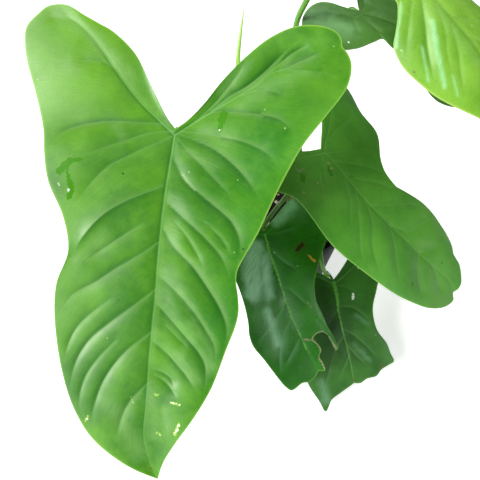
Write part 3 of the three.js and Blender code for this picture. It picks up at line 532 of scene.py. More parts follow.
LOOKS["leaf_low_left"] = dict(
    deep="1f660c", light="307f19", shade_tint="155107", vein="53a633", margin="76b241", under="62a63a",
    roughness=0.3, shine=0.5, pale="7ab282", shadow=0.8, painted_wall_light=0.6, crease_and_shade=0.3, rib=0.7,
    marks={
        "pale": [(18, 1.5, 0.8), (77.5, -7.5, 0.7), (37.5, 16.5, 0.7)],
        "beige": [(-12, 39.5, 0.9)]},
    trails={
        "stout rib": [(1.0, [(0, 0), (18, -3), (37, -4)]), (0.7, [(37, -4), (59, -6), (82, -6)]),
            (0.5, [(82, -6), (112, -3)])],
        # painted reflection haze and painted sheen, over the left half and the right lobe
        "painted_wide_sheen": [(11, [(18, -22), (52, -29), (96, -28)]), (8, [(-17, 27), (-7, 41)]),
            (4, [(62, -4), (85, -2)])],
        "sheen": [(8, [(8, -14), (25, -25), (43, -32)]), (4.5, [(19, -10), (51, -19)]),
            (3, [(65, -26), (96, -28)]), (5, [(-8, 16), (-15, 36)])],
        "brown": [(2.4, [(24, 22), (22, 26), (21, 30)])],
        "black": [(1.6, [(24, 22), (22, 26), (21, 30)])],
        "amber": [(1.1, [(33, 31), (37, 33), (40, 35)])],
        "beige": [(0.6, [(71, 12.5), (78, 14.5)]),
            (0.8, [(102.5, -2), (105.5, 4.5), (103, 8), (102, 12), (103, 16.5), (108, 20.5),
                   (116, 23.5), (125, 26)]),
            (0.7, [(106, 5), (113, 8.5), (119, 9.5), (124, 6), (131, 7.5), (138, 8)])]})
LOOKS["leaf_low_right"] = dict(
    deep="245815", light="387423", shade_tint="1a440d", vein="78b45a", margin="6c9448", under="5c8842",
    roughness=0.4, shine=0.7, pale="5c8c50", shadow=0.6, painted_wall_light=0.4, crease_and_shade=0.4, rib=0.8,
    marks={
        # painted sparkles: highlights
        "sparkle": [(13.5, 16.5, 1.3), (16, 16, 1.5), (18, 15, 1.1), (-12, 28.5, 0.8)],
        "beige": [(57, 30, 0.8)],
        "brown": [(87, 30, 1.4), (96, 0, 1.2)]},
    trails={
        "stout rib": [(1.9, [(-1, 0), (12, 0)]), (1.3, [(12, 0), (28, -2)]), (0.7, [(28, -2), (50, -2)])],
        # painted reflection haze, then a painted shadow cast by the low left blade on the left part
        "painted_gloss_haze": [(3.5, [(92, -32), (110, -30)]), (1.0, [(35, 15), (45, 25)]), (0.5, [(63, 7), (80, 19)])],
        "painted_shadow": [(9, [(8, -14), (40, -16)]), (7, [(10, -22), (36, -24)])]})
LOOKS["leaf_back"] = dict(
    deep="345f1d", light="46762c", shade_tint="234d13", vein="5b863e", margin="688948", under="5b843e",
    roughness=0.42, shine=0.35, pale="80a36d", shadow=0.5, painted_wall_light=0.3, crease_and_shade=0.5, rib=0.35,
    marks={
        # a painted sparkle highlight
        "sparkle": [(8, -37, 0.8)]},
    trails={
        # painted reflection haze
        "painted_wide_sheen": [(10, [(-32, -32), (-3, -26)])],
        "painted_reflection": [(3, [(-22, -33), (0, -23)])]})
LOOKS["leaf_young"] = dict(
    deep="669e23", light="79ae36", shade_tint="48851c", vein="89b554", margin="b4c767", under="85a957",
    roughness=0.26, shine=0.5, pale="b3d883", shadow=0.35, painted_wall_light=0.2, crease_and_shade=0.5, rib=0.4,
    marks={
        "brown": [(70.5, -50, 0.8)],
        "pale": [(52, -49, 0.8), (57, 13, 0.7)]},
    trails={
        # painted reflection along the midrib and painted highlight streaks
        "painted_reflection": [(3, [(32, -5), (49, -5), (65, -4), (83, -4)])],
        "gleam": [(2, [(42, -15), (64, -26), (90, -37)]), (1, [(56, -34), (81, -45)]),
            (0.8, [(86, -27), (100, -32)]), (0.7, [(18, -27), (31, -37), (40, -45), (48, -51)])]})


# Curves
def smooth_line(points, steps=12):
    """A centripetal Catmull-Rom line through the points, and each sample's index among them."""
    given = np.array(points, float)
    ends = np.vstack([2 * given[0] - given[1], given, 2 * given[-1] - given[-2]])
    part = np.linspace(0, 1, steps, endpoint=False)[:, None]
    line = []
    for a, b, c, d in zip(ends, ends[1:], ends[2:], ends[3:]):
        first, middle, last = (np.linalg.norm(q - p) ** 0.5 for p, q in ((a, b), (b, c), (c, d)))
        start = (c - b) + middle * ((b - a) / first - (c - a) / (first + middle))
        stop = (c - b) + middle * ((d - c) / last - (d - b) / (middle + last))
        line.append((2 * part**3 - 3 * part**2 + 1) * b + (part**3 - 2 * part**2 + part) * start
                    + (3 * part**2 - 2 * part**3) * c + (part**3 - part**2) * stop)
    line.append(given[-1:])
    line = np.vstack(line)
    return line, np.arange(len(line)) / steps


def run_length(line):
    """Length run along a line, at each of its points."""
    return np.concatenate([[0], np.cumsum(np.linalg.norm(np.diff(line, axis=0), axis=1))])


def point_at(line, distance):
    """Points at these lengths along a line."""
    run = run_length(line)
    return np.column_stack([np.interp(distance, run, column) for column in line.T])


def distance_to(points, line):
    """Distance from each point to the line, how far along it the nearest place lies, and the way
    from that place to the point."""
    best = np.full(len(points), np.inf)
    along = np.zeros(len(points))
    away = np.zeros((len(points), 2))
    run = run_length(line)
    for i, (a, b) in enumerate(zip(line, line[1:])):
        edge = b - a
        part = np.clip((points - a) @ edge / max(edge @ edge, 1e-9), 0, 1)
        offset = points - a - part[:, None] * edge
        gap = np.hypot(*offset.T)
        nearer = gap < best
        best[nearer] = gap[nearer]
        along[nearer] = (run[i] + part[nearer] * (run[i + 1] - run[i])) / run[-1]
        away[nearer] = offset[nearer]
    return best, along, away


def eased(part):
    """A share that leaves 0 and reaches 1 softly."""
    part = np.clip(part, 0, 1)
    return part * part * (3 - 2 * part)


def bell(gap, width):
    """1 on a line, fading to nothing beside it."""
    return np.exp(-((gap / width) ** 2))


def share(values, full):
    """Values as a share of their full measure, from 0 to 1."""
    return np.clip(values, 0, full) / full


def circle(radius, sides, middle=(0, 0)):
    """Points spread evenly round a circle."""
    turns = np.linspace(0, 2 * math.pi, sides, endpoint=False)
    return [(middle[0] + radius * math.cos(a), middle[1] + radius * math.sin(a)) for a in turns]


# Blades
def blade_axes(leaf):
    """The blade plane's origin and its three axes, in the plant."""
    at = Vector(leaf["at"])
    ahead = (Vector(leaf["tip"]) - at).normalized()
    up = Vector((0, 0, 1))
    up = (up - ahead * up.dot(ahead)).normalized()
    up.rotate(Quaternion(ahead, math.radians(-leaf["roll"])))
    return np.array([at, ahead, up.cross(ahead), up])


def in_plant(leaf, spots):
    """Points of the blade's plane, carried into the plant."""
    at, ahead, sideways, up = blade_axes(leaf)
    spots = np.atleast_2d(np.array(spots, float))
    return at + spots[:, :1] * ahead + spots[:, 1:2] * sideways + spots[:, 2:3] * up


def blade_form(leaf, x, y):
    """The blade's large curves: bulge along the midrib, fold across it, arched halves, droop."""
    along = x / leaf["midrib"][-1][0]
    ahead = 4 * leaf["bulge"] * along * (1 - along)
    behind = 4 * leaf["bulge"] * along / (1 - 3 * np.minimum(along, 0)) - leaf["lobe_drop"] * x * x
    fold = leaf["fold"] * (np.hypot(y, FOLD_ROUND) - FOLD_ROUND)
    outward = np.maximum(0, y - DROOP_FROM) ** 2
    droop = leaf["droop"] * outward / (1 + outward / DROOP_WIDTH**2)
    droop *= eased((x + DROOP_BEHIND) / DROOP_EASE)
    return np.where(x > 0, ahead, behind) + fold - leaf["arch"] * y * y - droop


def half_grid(leaf, side, places, across):
    """Points of one half blade. A row runs from the ribs to the margin as the veins do.
    A place counts 0 at the tip, 1 at the stalk, 2 at the lobe's end and 3 at the notch."""
    half = leaf[side]
    outline, order = smooth_line(half["outline"])
    run = run_length(outline)
    shoulder, lobe = np.interp([half["shoulder"], half["lobe"]], order, run)
    midrib = smooth_line(leaf["midrib"][::-1])[0]
    rib = smooth_line(half["rib"])[0]
    part = np.where((places > 0) & (places % 1 == 0), 1, places % 1)
    ahead, lobed = places <= 1, places <= 2
    start = point_at(rib, run_length(rib)[-1] * np.where(lobed, part, 1 - part) ** RIB_SPREAD)
    start[ahead] = point_at(midrib, run_length(midrib)[-1] * places[ahead])
    reach = np.where(lobed, shoulder + (lobe - shoulder) * part,
                     lobe + (run[-1] - lobe) * part**NOTCH_SPREAD)
    reach[ahead] = shoulder * places[ahead] ** VEIN_SWEEP
    bow = np.where(lobed, LOBE_BOW * (1 - 1.3 * part), NOTCH_BOW * (1 - part))
    bow[ahead] = ROW_BOW * (1 - 0.3 * places[ahead])
    stop = point_at(outline, reach)
    chord = stop - start
    turn = 1 if side == "right" else -1
    bend = (start + stop) / 2 + np.column_stack([-chord[:, 1], chord[:, 0]]) * (turn * bow)[:, None]
    t = across[None, :, None]
    grid = (1 - t) ** 2 * start[:, None] + 2 * t * (1 - t) * bend[:, None] + t**2 * stop[:, None]
    return grid, np.linalg.norm(chord, axis=1)


def blade_grid(leaf):
    """The flat blade: its points, their flow (place and share of the way across, 4 more on the
    left half), their way to the margin, and its quads with the flow at their corners."""
    ahead_rows, lobe_rows = leaf["rows"]
    places = np.concatenate([np.arange(ahead_rows) / ahead_rows,
                             1 + np.arange(2 * lobe_rows + 1) / lobe_rows])
    even = np.linspace(0, 1, leaf["columns"] + 1)
    across = 0.5 * even + 0.25 * (1 - np.cos(math.pi * even))
    spots, flow, edge_gap, quads = [], [], [], []
    for side, turn in (("right", 0), ("left", 4)):
        grid, length = half_grid(leaf, side, places, across)
        rows, columns = grid.shape[:2]
        index = np.arange(rows * columns).reshape(rows, columns) + sum(len(s) for s in spots)
        corners = [index[:-1, :-1], index[:-1, 1:], index[1:, 1:], index[1:, :-1]]
        if side == "left":
            corners.reverse()
        quads.append(np.stack(corners, axis=-1).reshape(-1, 4))
        spots.append(grid.reshape(-1, 2))
        flow.append(np.stack(np.broadcast_arrays(places[:, None] + turn, across[None]), -1).reshape(-1, 2))
        edge_gap.append((length[:, None] * (1 - across[None])).ravel())
    spots, flow, edge_gap, quads = map(np.concatenate, (spots, flow, edge_gap, quads))
    _, first, known = np.unique(np.round(spots, 3), axis=0, return_index=True, return_inverse=True)
    return spots[first], flow[first], edge_gap[first], known.ravel()[quads], flow[quads]


def vein_values(leaf, spots):
    """What the veins do at each point: height of their valleys over the large form, painted shade in the
    creases near their beds and beside the ribs, their fine line, painted tone of their walls (painted light
    on the sheen side, positive, and painted shade on the other, negative), distance from the strongest vein
    with the same sign, and that vein's strength."""
    ahead, sideways = blade_axes(leaf)[1:3]
    sheen = np.array([np.dot(SHEEN_SIDE, ahead), np.dot(SHEEN_SIDE, sideways)])
    sheen /= np.linalg.norm(sheen)
    calm = (spots**2).sum(axis=1)
    calm = calm / (calm + JUNCTION_CALM**2)
    height, crease_and_shade, vein_line, tone, level, best = np.zeros((6, len(spots)))
    side = np.full(len(spots), FAR_OFF)
    ribs = [(RIB_FOLD, 5, leaf["midrib"])] + [(RIB_FOLD / 2, 5, route) for route in leaf["lobe_ribs"]]
    for i, (depth, width, route) in enumerate(leaf["veins"] + ribs):
        gap, along, away = distance_to(spots, smooth_line(route, 6)[0])
        deep = math.copysign(abs(depth) ** VEIN_POWER, depth)
        strength = np.clip(VEIN_START + VEIN_RISE * along, 0, 1) * eased((1 - along) / VEIN_FADE)
        facing = -(away @ sheen) / (gap + VEIN_ROUND) * math.copysign(1, depth)
        reach = width * np.where(facing > 0, TONE_BRIGHT_REACH * (1.3 - along), TONE_DARK_REACH)
        wall = abs(deep) * strength * np.exp(-gap / reach) * facing
        tone = np.where(np.abs(wall) > np.abs(tone), wall, tone)
        power = abs(deep) * strength * np.exp(-gap / width)
        side = np.where(power > best, gap * np.sign(facing), side)
        level = np.where(power > best, abs(deep) * strength, level)
        best = np.maximum(power, best)
        if i < len(leaf["veins"]):
            valley = np.exp(-np.hypot(gap, VEIN_ROUND) / (width * VEIN_REACH))
            height -= leaf["relief"] * deep * strength * valley * calm
            crease_and_shade = np.maximum(crease_and_shade, abs(depth) * strength * np.exp(-gap / CREASE_REACH))
            vein_line = np.maximum(vein_line, bell(gap, VEIN_LINE) * (1 - 0.8 * along))
        else:
            # A line of painted shade beside each rib, on its side turned from the light
            groove = bell(gap - GROOVE_GAP, GROOVE_WIDTH) * (facing < 0)
            crease_and_shade = np.maximum(crease_and_shade, GROOVE_TONE * (1 - along) * groove)
    return height, crease_and_shade, vein_line, tone * calm, side, level * calm


def rib_values(leaf, spots):
    """The pale line, the fold and the keel of the midrib and the lobes' ribs at each point."""
    rib_gap, rib_along, _ = distance_to(spots, smooth_line(leaf["midrib"], 8)[0])
    lobe_gap = np.full(len(spots), np.inf)
    lobe_along = np.zeros(len(spots))
    for route in leaf["lobe_ribs"]:
        gap, along, _ = distance_to(spots, smooth_line(route, 8)[0])
        lobe_along = np.where(gap < lobe_gap, along, lobe_along)
        lobe_gap = np.minimum(gap, lobe_gap)
    main = bell(rib_gap, RIB_LINE) * (1 - 0.75 * rib_along**2)
    lobed = bell(lobe_gap, RIB_LINE) * np.clip(1.1 - lobe_along, 0, 1)
    fold = FOLD_VALLEY * np.maximum(np.exp(-rib_gap / FOLD_WIDTH) * (1 - 0.5 * rib_along),
                                    np.exp(-lobe_gap / (FOLD_WIDTH + 2)) * (1.2 - 0.4 * lobe_along))
    keel = (MIDRIB_DEPTH * (1 - 0.7 * rib_along) * bell(rib_gap, MIDRIB_WIDTH)
            + LOBE_RIB_DEPTH * (1 - 0.7 * lobe_along) * bell(lobe_gap, LOBE_RIB_WIDTH))
    return np.maximum(main, 0.8 * lobed), fold, keel


def shell_faces(quads, corner_flow, count):
    """Faces of the upper side, the lower side and the margin between them, and the flow at their
    corners. The lower side's points come count places after the upper ones."""
    upper, upper_flow = [], []
    for quad, corners in zip(quads.tolist(), corner_flow.tolist()):
        kept = [i for i in range(4) if quad[i] != quad[i - 1]]
        if len(kept) > 2:
            upper.append([quad[i] for i in kept])
            upper_flow.append([corners[i] for i in kept])
    open_edges = {}
    for face, flows in zip(upper, upper_flow):
        for i, flow in enumerate(flows):
            pair = (face[i - 1], face[i])
            if pair[::-1] in open_edges:
                del open_edges[pair[::-1]]
            else:
                open_edges[pair] = flow
    lower = [[i + count for i in reversed(face)] for face in upper]
    walls = [[b, a, a + count, b + count] for a, b in open_edges]
    lower_flow = [flows[::-1] for flows in upper_flow]
    wall_flow = [[flow] * 4 for flow in open_edges.values()]
    return upper + lower + walls, upper_flow + lower_flow + wall_flow


def blade_mesh(leaf):
    """One closed blade: upper face with its veins sunk in, lower face with its ribs standing out."""
    spots, flow, edge_gap, quads, corner_flow = blade_grid(leaf)
    x, y = spots.T
    place, across = flow[:, 0] % 4, flow[:, 1]
    fade = np.clip(place / WAVE_START, 0, 1) * np.clip((3 - place) / WAVE_STOP, 0, 1)
    wave = leaf["wave"] * across**3 * np.sin(2 * math.pi * leaf["waves"] * place / 3)
    sunk, crease_and_shade, vein_line, tone, side, level = vein_values(leaf, spots)
    rib_line, fold, keel = rib_values(leaf, spots)
    top = blade_form(leaf, x, y) + fade * wave + sunk - fold + RIB_RISE * rib_line
    thickness = BLADE_THIN + (BLADE_THICK - BLADE_THIN) * np.clip(edge_gap / THICKNESS_TAPER, 0, 1)
    ribbed = np.clip(edge_gap / KEEL_TAPER, 0, 1) * (keel + VEIN_DEPTH_BELOW * np.clip(crease_and_shade, 0, 1.4))
    sides = [in_plant(leaf, np.column_stack([x, y, z])) for z in (top, top - thickness - ribbed)]
    faces, face_flow = shell_faces(quads, corner_flow, len(spots))
    mesh = make_mesh(leaf["name"], np.vstack(sides), faces)
    corners = np.array([corner for flows in face_flow for corner in flows], np.float32)
    mesh.uv_layers.new(name="flow").data.foreach_set("uv", corners.ravel())
    # These values carry the painted shade and painted light of the vein walls and creases to the skin
    values = dict(rib=rib_line, vein=vein_line, crease_and_shade=share(crease_and_shade, CREASE_FULL),
                  painted_wall_light=share(tone, TONE_FULL), shadow=share(-tone, TONE_FULL),
                  level=share(level, TONE_FULL),
                  side=np.clip(side, -FAR_OFF, FAR_OFF), close=bell(side, CRISP_REACH),
                  margin=bell(edge_gap, MARGIN_LINE))
    for name, value in values.items():
        add_values(mesh, name, np.tile(value, 2))
    outside = np.full(len(spots), OUTSIDE)
    for kind, trails in LOOKS[leaf["name"]].get("trails", {}).items():
        gaps = [radius - distance_to(spots, smooth_line(route, 4)[0])[0] for radius, route in trails]
        add_values(mesh, kind + " trail", np.concatenate([np.max(gaps + [outside], axis=0), outside]))
    add_values(mesh, "under", np.repeat([0.0, 1.0], len(spots)))
    plane = np.tile(np.column_stack([x, y, np.zeros(len(spots))]), (2, 1)).astype(np.float32)
    mesh.attributes.new("plane", "FLOAT_VECTOR", "POINT").data.foreach_set("vector", plane.ravel())
    mesh.set_sharp_from_angle(angle=math.radians(50))
    return mesh


# Meshes and pieces
def make_mesh(name, spots, faces, smooth=True):
    mesh = bpy.data.meshes.new(name)
    mesh.from_pydata((np.asarray(spots) * MM).tolist(), [], faces)
    mesh.update()
    if smooth:
        mesh.polygons.foreach_set("use_smooth", np.ones(len(mesh.polygons), bool))
    return mesh


def add_values(mesh, name, values):
    mesh.attributes.new(name, "FLOAT", "POINT").data.foreach_set("value", values.astype(np.float32))


def add_piece(name, mesh, material, slot, node=None):
    """Puts a piece of the object in the scene, on the plant's only body."""
    piece = bpy.data.objects.new(name, mesh)
    bpy.context.scene.collection.objects.link(piece)
    mesh.materials.append(material)
    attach(piece, "root")
    if node:
        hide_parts(node)


def ringed_faces(rings, sides):
    """Faces of a closed body whose points are rings, then the middles of the first and the last."""
    faces = []
    for i in range(rings - 1):
        for j in range(sides):
            k = (j + 1) % sides
            faces.append([i * sides + j, i * sides + k, (i + 1) * sides + k, (i + 1) * sides + j])
    last = (rings - 1) * sides
    for j in range(sides):
        k = (j + 1) % sides
        faces += [[rings * sides, k, j], [rings * sides + 1, last + j, last + k]]
    return faces


def tube(name, points, radius_at, sides, steps):
    """A closed round tube of changing radius along a smooth line, with its run as an attribute."""
    line = smooth_line(points, 20)[0]
    length = run_length(line)[-1]
    centres = point_at(line, np.linspace(0, length, steps + 1))
    ahead = np.gradient(centres, axis=0)
    ahead /= np.linalg.norm(ahead, axis=1)[:, None]
    seam_side = np.cross(ahead[0], TUBE_SEAM)
    angles = np.linspace(0, 2 * math.pi, sides, endpoint=False)
    rings = []
    for i, centre in enumerate(centres):
        seam_side = seam_side - ahead[i] * (seam_side @ ahead[i])
        seam_side /= np.linalg.norm(seam_side)
        other = np.cross(ahead[i], seam_side)
        radius = np.array([radius_at(i / steps, angle, length) for angle in angles])[:, None]
        rings.append(centre + radius * (np.cos(angles)[:, None] * seam_side
                                        + np.sin(angles)[:, None] * other))
    mesh = make_mesh(name, np.vstack(rings + [centres[:1], centres[-1:]]), ringed_faces(steps + 1, sides))
    add_values(mesh, "run", np.append(np.repeat(np.linspace(0, 1, steps + 1), sides), [0, 1]))
    return mesh


# Materials
def colour(hex_code):
    """The linear colour of an sRGB hex code."""
    parts = [int(hex_code[i:i + 2], 16) / 255 for i in (0, 2, 4)]
    linear = [p / 12.92 if p <= 0.04045 else ((p + 0.055) / 1.055) ** 2.4 for p in parts]
    return (*linear, 1.0)


class Shade:
    """A material under construction, with short calls for its nodes."""

    def __init__(self, name, roughness, shine=0.4):
        self.material = bpy.data.materials.new(name)
        self.material.use_nodes = True
        self.tree = self.material.node_tree
        self.surface = next(n for n in self.tree.nodes if n.type == "BSDF_PRINCIPLED")
        self.surface.inputs["Roughness"].default_value = roughness
        self.surface.inputs["Specular IOR Level"].default_value = shine

    def add(self, kind, inputs, output=0, **settings):
        node = self.tree.nodes.new(kind)
        for key, value in settings.items():
            setattr(node, key, value)
        for key, value in inputs.items():
            if isinstance(value, bpy.types.NodeSocket):
                self.tree.links.new(value, node.inputs[key])
            else:
                node.inputs[key].default_value = value
        return node.outputs[output]

    def value(self, name):
        return self.add("ShaderNodeAttribute", {}, "Fac", attribute_name=name)

    def vector(self, name):
        return self.add("ShaderNodeAttribute", {}, "Vector", attribute_name=name)

    def place(self):
        return self.add("ShaderNodeTexCoord", {}, "Object")

    def math(self, operation, a, b, c=0.0):
        return self.add("ShaderNodeMath", {0: a, 1: b, 2: c}, operation=operation)

    def times(self, a, b):
        return self.math("MULTIPLY", a, b)

    def mix(self, part, a, b, blend="MIX"):
        return self.add("ShaderNodeMix", {0: part, 6: a, 7: b}, 2, data_type="RGBA", blend_type=blend)

    def tint(self, skin, mask, strength, hex_code):
        """The skin turned towards a colour by the mask times the strength."""
        return self.mix(self.times(mask, strength), skin, colour(hex_code))

    def vary(self, skin, mask, part, low, high):
        """The skin made darker and lighter as the mask goes from one grey to another."""
        return self.mix(part, skin, self.mix(mask, (low, low, low, 1), (high, high, high, 1)), "OVERLAY")

    def noise(self, where, scale, detail=3.0, stretch=(1, 1, 1), roughness=0.55):
        spot = self.add("ShaderNodeMapping", {"Vector": where, "Scale": stretch})
        return self.add("ShaderNodeTexNoise", {"Vector": spot, "Scale": scale, "Detail": detail,
                                               "Roughness": roughness})

    def band(self, value, low, high, start=0.0, stop=1.0):
        """Carries value from low..high to start..stop, smoothly and clamped."""
        return self.add("ShaderNodeMapRange", {"Value": value, "From Min": low, "From Max": high,
                                               "To Min": start, "To Max": stop},
                        interpolation_type="SMOOTHSTEP")

    def strongest(self, masks):
        total = masks[0]
        for mask in masks[1:]:
            total = self.math("MAXIMUM", total, mask)
        return total

    def spots(self, where, marks):
        """A mask of round spots: marks are (x, y, radius) in the blade's plane."""
        gaps = [self.add("ShaderNodeVectorMath", {0: where, 1: (x, y, 0)}, "Value", operation="DISTANCE")
                for x, y, _ in marks]
        return self.strongest([self.band(gap, *(edge * mark[2] for edge in SPOT_EDGE))
                               for gap, mark in zip(gaps, marks)])

    def set(self, **links):
        for key, socket in links.items():
            self.tree.links.new(socket, self.surface.inputs[key.replace("_", " ")])

    def bump(self, height, distance, strength):
        return self.add("ShaderNodeBump", {"Height": height, "Distance": distance, "Strength": strength})


def paint_lobe_light_and_half_shade(shade, look, plane, skin):
    """Skin with painted light on the left lobe and painted shade on the right half, as the leaf turns to
    and from the light.
    """
    along = shade.add("ShaderNodeSeparateXYZ", {0: plane}, "X")
    sideways = shade.add("ShaderNodeSeparateXYZ", {0: plane}, "Y")
    glow = shade.times(shade.band(along, *PAINTED_LIGHT_ALONG), shade.band(sideways, *PAINTED_LIGHT_SIDEWAYS))
    skin = shade.tint(skin, glow, look["glow"], look["lobe"])
    painted_half_shade = shade.times(shade.band(along, *PAINTED_SHADE_ALONG), shade.band(sideways, *PAINTED_SHADE_SIDEWAYS))
    return shade.tint(skin, painted_half_shade, look["painted_half_shade"], look["far"])


def vein_tones(shade):
    """Painted shade and painted light on the veins' walls, smooth far off and crisp close to the vein."""
    lit = shade.band(shade.value("side"), -CRISP_EDGE, CRISP_EDGE)
    unlit = shade.math("SUBTRACT", 1.0, lit)
    close, level = shade.value("close"), shade.value("level")
    tones = []
    for name, side in (("shadow", unlit), ("painted_wall_light", lit)):
        smooth = shade.value(name)
        change = shade.math("MULTIPLY_ADD", level, side, shade.times(smooth, -1.0))
        tones.append(shade.math("MULTIPLY_ADD", close, change, smooth))
    return tones


def trail_mask(shade, kind, soft, uneven, patchy, lines):
    """Where the trails of a kind lie. Patches and the skin's lines break up a soft kind."""
    depth = shade.value(kind + " trail")
    if not soft:
        return shade.band(shade.math("ADD", depth, uneven), *TRAIL_EDGE)
    depth = shade.math("MULTIPLY_ADD", patchy, SOFT_BREAK * soft, depth)
    mask = shade.band(depth, *(edge * soft for edge in SOFT_EDGE))
    return shade.times(mask, shade.band(lines, *SOFT_LINES))


def lay_marks(shade, look, skin, roughness, place, plane, lines):
    """Skin and roughness under the leaf's spots and trails."""
    ragged = shade.add("ShaderNodeTexNoise", {"Vector": plane, "Scale": SPOT_NOISE_SCALE, "Detail": 2.0},
                       "Color")
    shift = shade.add("ShaderNodeVectorMath", {0: ragged, 1: (0.5, 0.5, 0.5)}, operation="SUBTRACT")
    shifted = shade.add("ShaderNodeVectorMath", {0: shift, 1: (SPOT_RAGGED, SPOT_RAGGED, 0), 2: plane},
                        operation="MULTIPLY_ADD")
    top_side = shade.math("SUBTRACT", 1.0, shade.value("under"))
    uneven = shade.band(shade.noise(place, *TRAIL_NOISE), *NOISE_MIDDLE, -TRAIL_UNEVEN, TRAIL_UNEVEN)
    patchy = shade.noise(place, *SOFT_NOISE)
    for kind, tint, strength, gloss, soft in MARK_KINDS:
        masks = []
        if kind in look.get("marks", {}):
            masks.append(shade.times(shade.spots(shifted, look["marks"][kind]), top_side))
        if kind in look.get("trails", {}):
            masks.append(trail_mask(shade, kind, soft, uneven, patchy, lines))
        if masks:
            mask = shade.strongest(masks)
            skin = shade.tint(skin, mask, strength, tint)
            if gloss:
                roughness = shade.math("MULTIPLY_ADD", mask, gloss - look["roughness"], roughness)
    return skin, roughness


def leaf_shade(leaf, look):
    """Leaf skin: soft blotches, fine lines along the veins, painted shade and painted light on the vein
    walls, pale ribs, margin and marks, some of them painted reflections and a painted shadow.
    """
    shade = Shade(leaf["name"], look["roughness"], look["shine"])
    place, flow, plane = shade.place(), shade.vector("flow"), shade.vector("plane")
    blotch = shade.band(shade.noise(place, *BLOTCH_NOISE), *BLOTCH_RANGE)
    skin = shade.mix(blotch, colour(look["deep"]), colour(look["light"]))
    # Painted light on the front blade's left lobe and painted shade on its right half
    if "lobe" in look:
        skin = paint_lobe_light_and_half_shade(shade, look, plane, skin)
    dapple = shade.band(shade.noise(place, *DAPPLE_NOISE), *DAPPLE_RANGE)
    skin = shade.tint(skin, dapple, DAPPLE_SHARE, look["light"])
    lines = shade.noise(flow, 1.0, 4, stretch=LINE_STRETCH, roughness=0.7)
    skin = shade.vary(skin, shade.band(lines, *NOISE_MIDDLE), *LINE_CONTRAST)
    fine = shade.noise(place, *FINE_NOISE)
    skin = shade.vary(skin, fine, *FINE_CONTRAST)
    shadow, painted_wall_light = vein_tones(shade)
    # Painted shade in the creases and on the vein walls turned from the light, painted light on those
    # turned to it, then the vein and rib lines and the margin
    layers = [(shade.value("crease_and_shade"), look["crease_and_shade"], "shade_tint"), (shadow, look["shadow"], "shade_tint"),
              (painted_wall_light, look["painted_wall_light"], "pale"), (shade.value("vein"), VEIN_SHARE, "vein"),
              (shade.value("rib"), look["rib"], "vein"), (shade.value("margin"), MARGIN_SHARE, "margin")]
    for mask, strength, tint in layers:
        skin = shade.tint(skin, mask, strength, look[tint])
    roughness = shade.band(shade.noise(place, *GLOSS_NOISE), *NOISE_MIDDLE,
                           *(look["roughness"] + change for change in GLOSS_CHANGE))
    skin, roughness = lay_marks(shade, look, skin, roughness, place, plane, lines)
    skin = shade.tint(skin, shade.value("under"), UNDER_SHARE, look["under"])
    height = shade.math("ADD", shade.times(lines, LINE_HEIGHT), shade.times(fine, FINE_HEIGHT))
    shade.set(Base_Color=skin, Roughness=roughness, Normal=shade.bump(height, LEAF_BUMP, 0.5))
    return shade.material


def plain_shade(name, low, high, roughness, scale, bump=0.0002, shine=0.4):
    """A two-tone mottled surface with a fine bump."""
    shade = Shade(name, roughness, shine)
    mottle = shade.band(shade.noise(shade.place(), scale, 4), *NOISE_MIDDLE)
    fine = shade.noise(shade.place(), scale * 9, 3)
    shade.set(Base_Color=shade.mix(mottle, colour(low), colour(high)), Normal=shade.bump(fine, bump, 0.7))
    return shade.material


def stalk_shade(name, low, high):
    """Stalk skin: greener towards the blade, finely streaked along its length."""
    shade = Shade(name, STALK_ROUGHNESS)
    streaks = shade.noise(shade.place(), 300, 3, (1, 1, 0.15))
    skin = shade.mix(shade.band(shade.value("run"), 0.0, 0.5), colour(low), colour(high))
    skin = shade.vary(skin, streaks, *STREAK_CONTRAST)
    shade.set(Base_Color=skin, Normal=shade.bump(streaks, 0.0002, 0.5))
    return shade.material


# Stalks and growing tip
def stalk_mesh(leaf):
    """Leaf stalk: wide sheath at the stem, slim along its length, run on into the blade's rib."""
    stalk = leaf["stalk"]
    on_blade = in_plant(leaf, [stalk["approach"], stalk["seat"], STALK_END])
    tip = 0.7 * STALK_TIP_RADIUS

    def radius_at(part, angle, length):
        sheath = 1 + SHEATH_SWELL * max(0, 1 - part * length / SHEATH_LENGTH)
        neck = min(1, (1 - part) * length / (2 * STALK_NECK_LENGTH))
        return (tip + (stalk["radius"] * sheath - tip) * neck**0.7) * (1 + 0.03 * math.cos(2 * angle))

    points = np.vstack([stalk["path"], on_blade])
    return tube(leaf["name"].replace("leaf", "stalk"), points, radius_at, 20, 120)


def new_leaf_mesh():
    """The next leaf, rolled to a slim spear whose free edge winds along it."""
    def radius_at(part, angle, length):
        spear = min(1, max(0, (part - 0.42) / 0.58))
        body = NEW_LEAF_RADIUS * (1 - spear**2.5) ** 0.8 if spear > 0 else 0
        stalk = NEW_LEAF_RADIUS * min(1, (1 - spear) * 2)
        turn = (angle - 5 * spear) % (2 * math.pi)
        lap = 0.12 * (1 - turn / math.pi / 2) if spear > 0 else 0
        return max(0.35, body, stalk) * (1 + lap)

    return tube("new_leaf", NEW_LEAF_PATH, radius_at, 28, 150)


def stem_mesh():
    """Short stem, ringed by the scars of fallen leaves."""
    def radius_at(part, angle, length):
        scar = max(0, math.cos(2 * math.pi * part * SCAR_RINGS + 0.5 * math.cos(angle))) ** 5
        crown = 3.2 * max(0, (part - 0.85) / 0.15) ** 2
        return STEM_RADIUS + scar - crown + 0.15 * math.cos(7 * angle + 9 * part)

    middle = tuple((a + b) / 2 for a, b in zip(STEM_FOOT, STEM_TOP))
    return tube("stem", [STEM_FOOT, middle, STEM_TOP], radius_at, 40, 110)


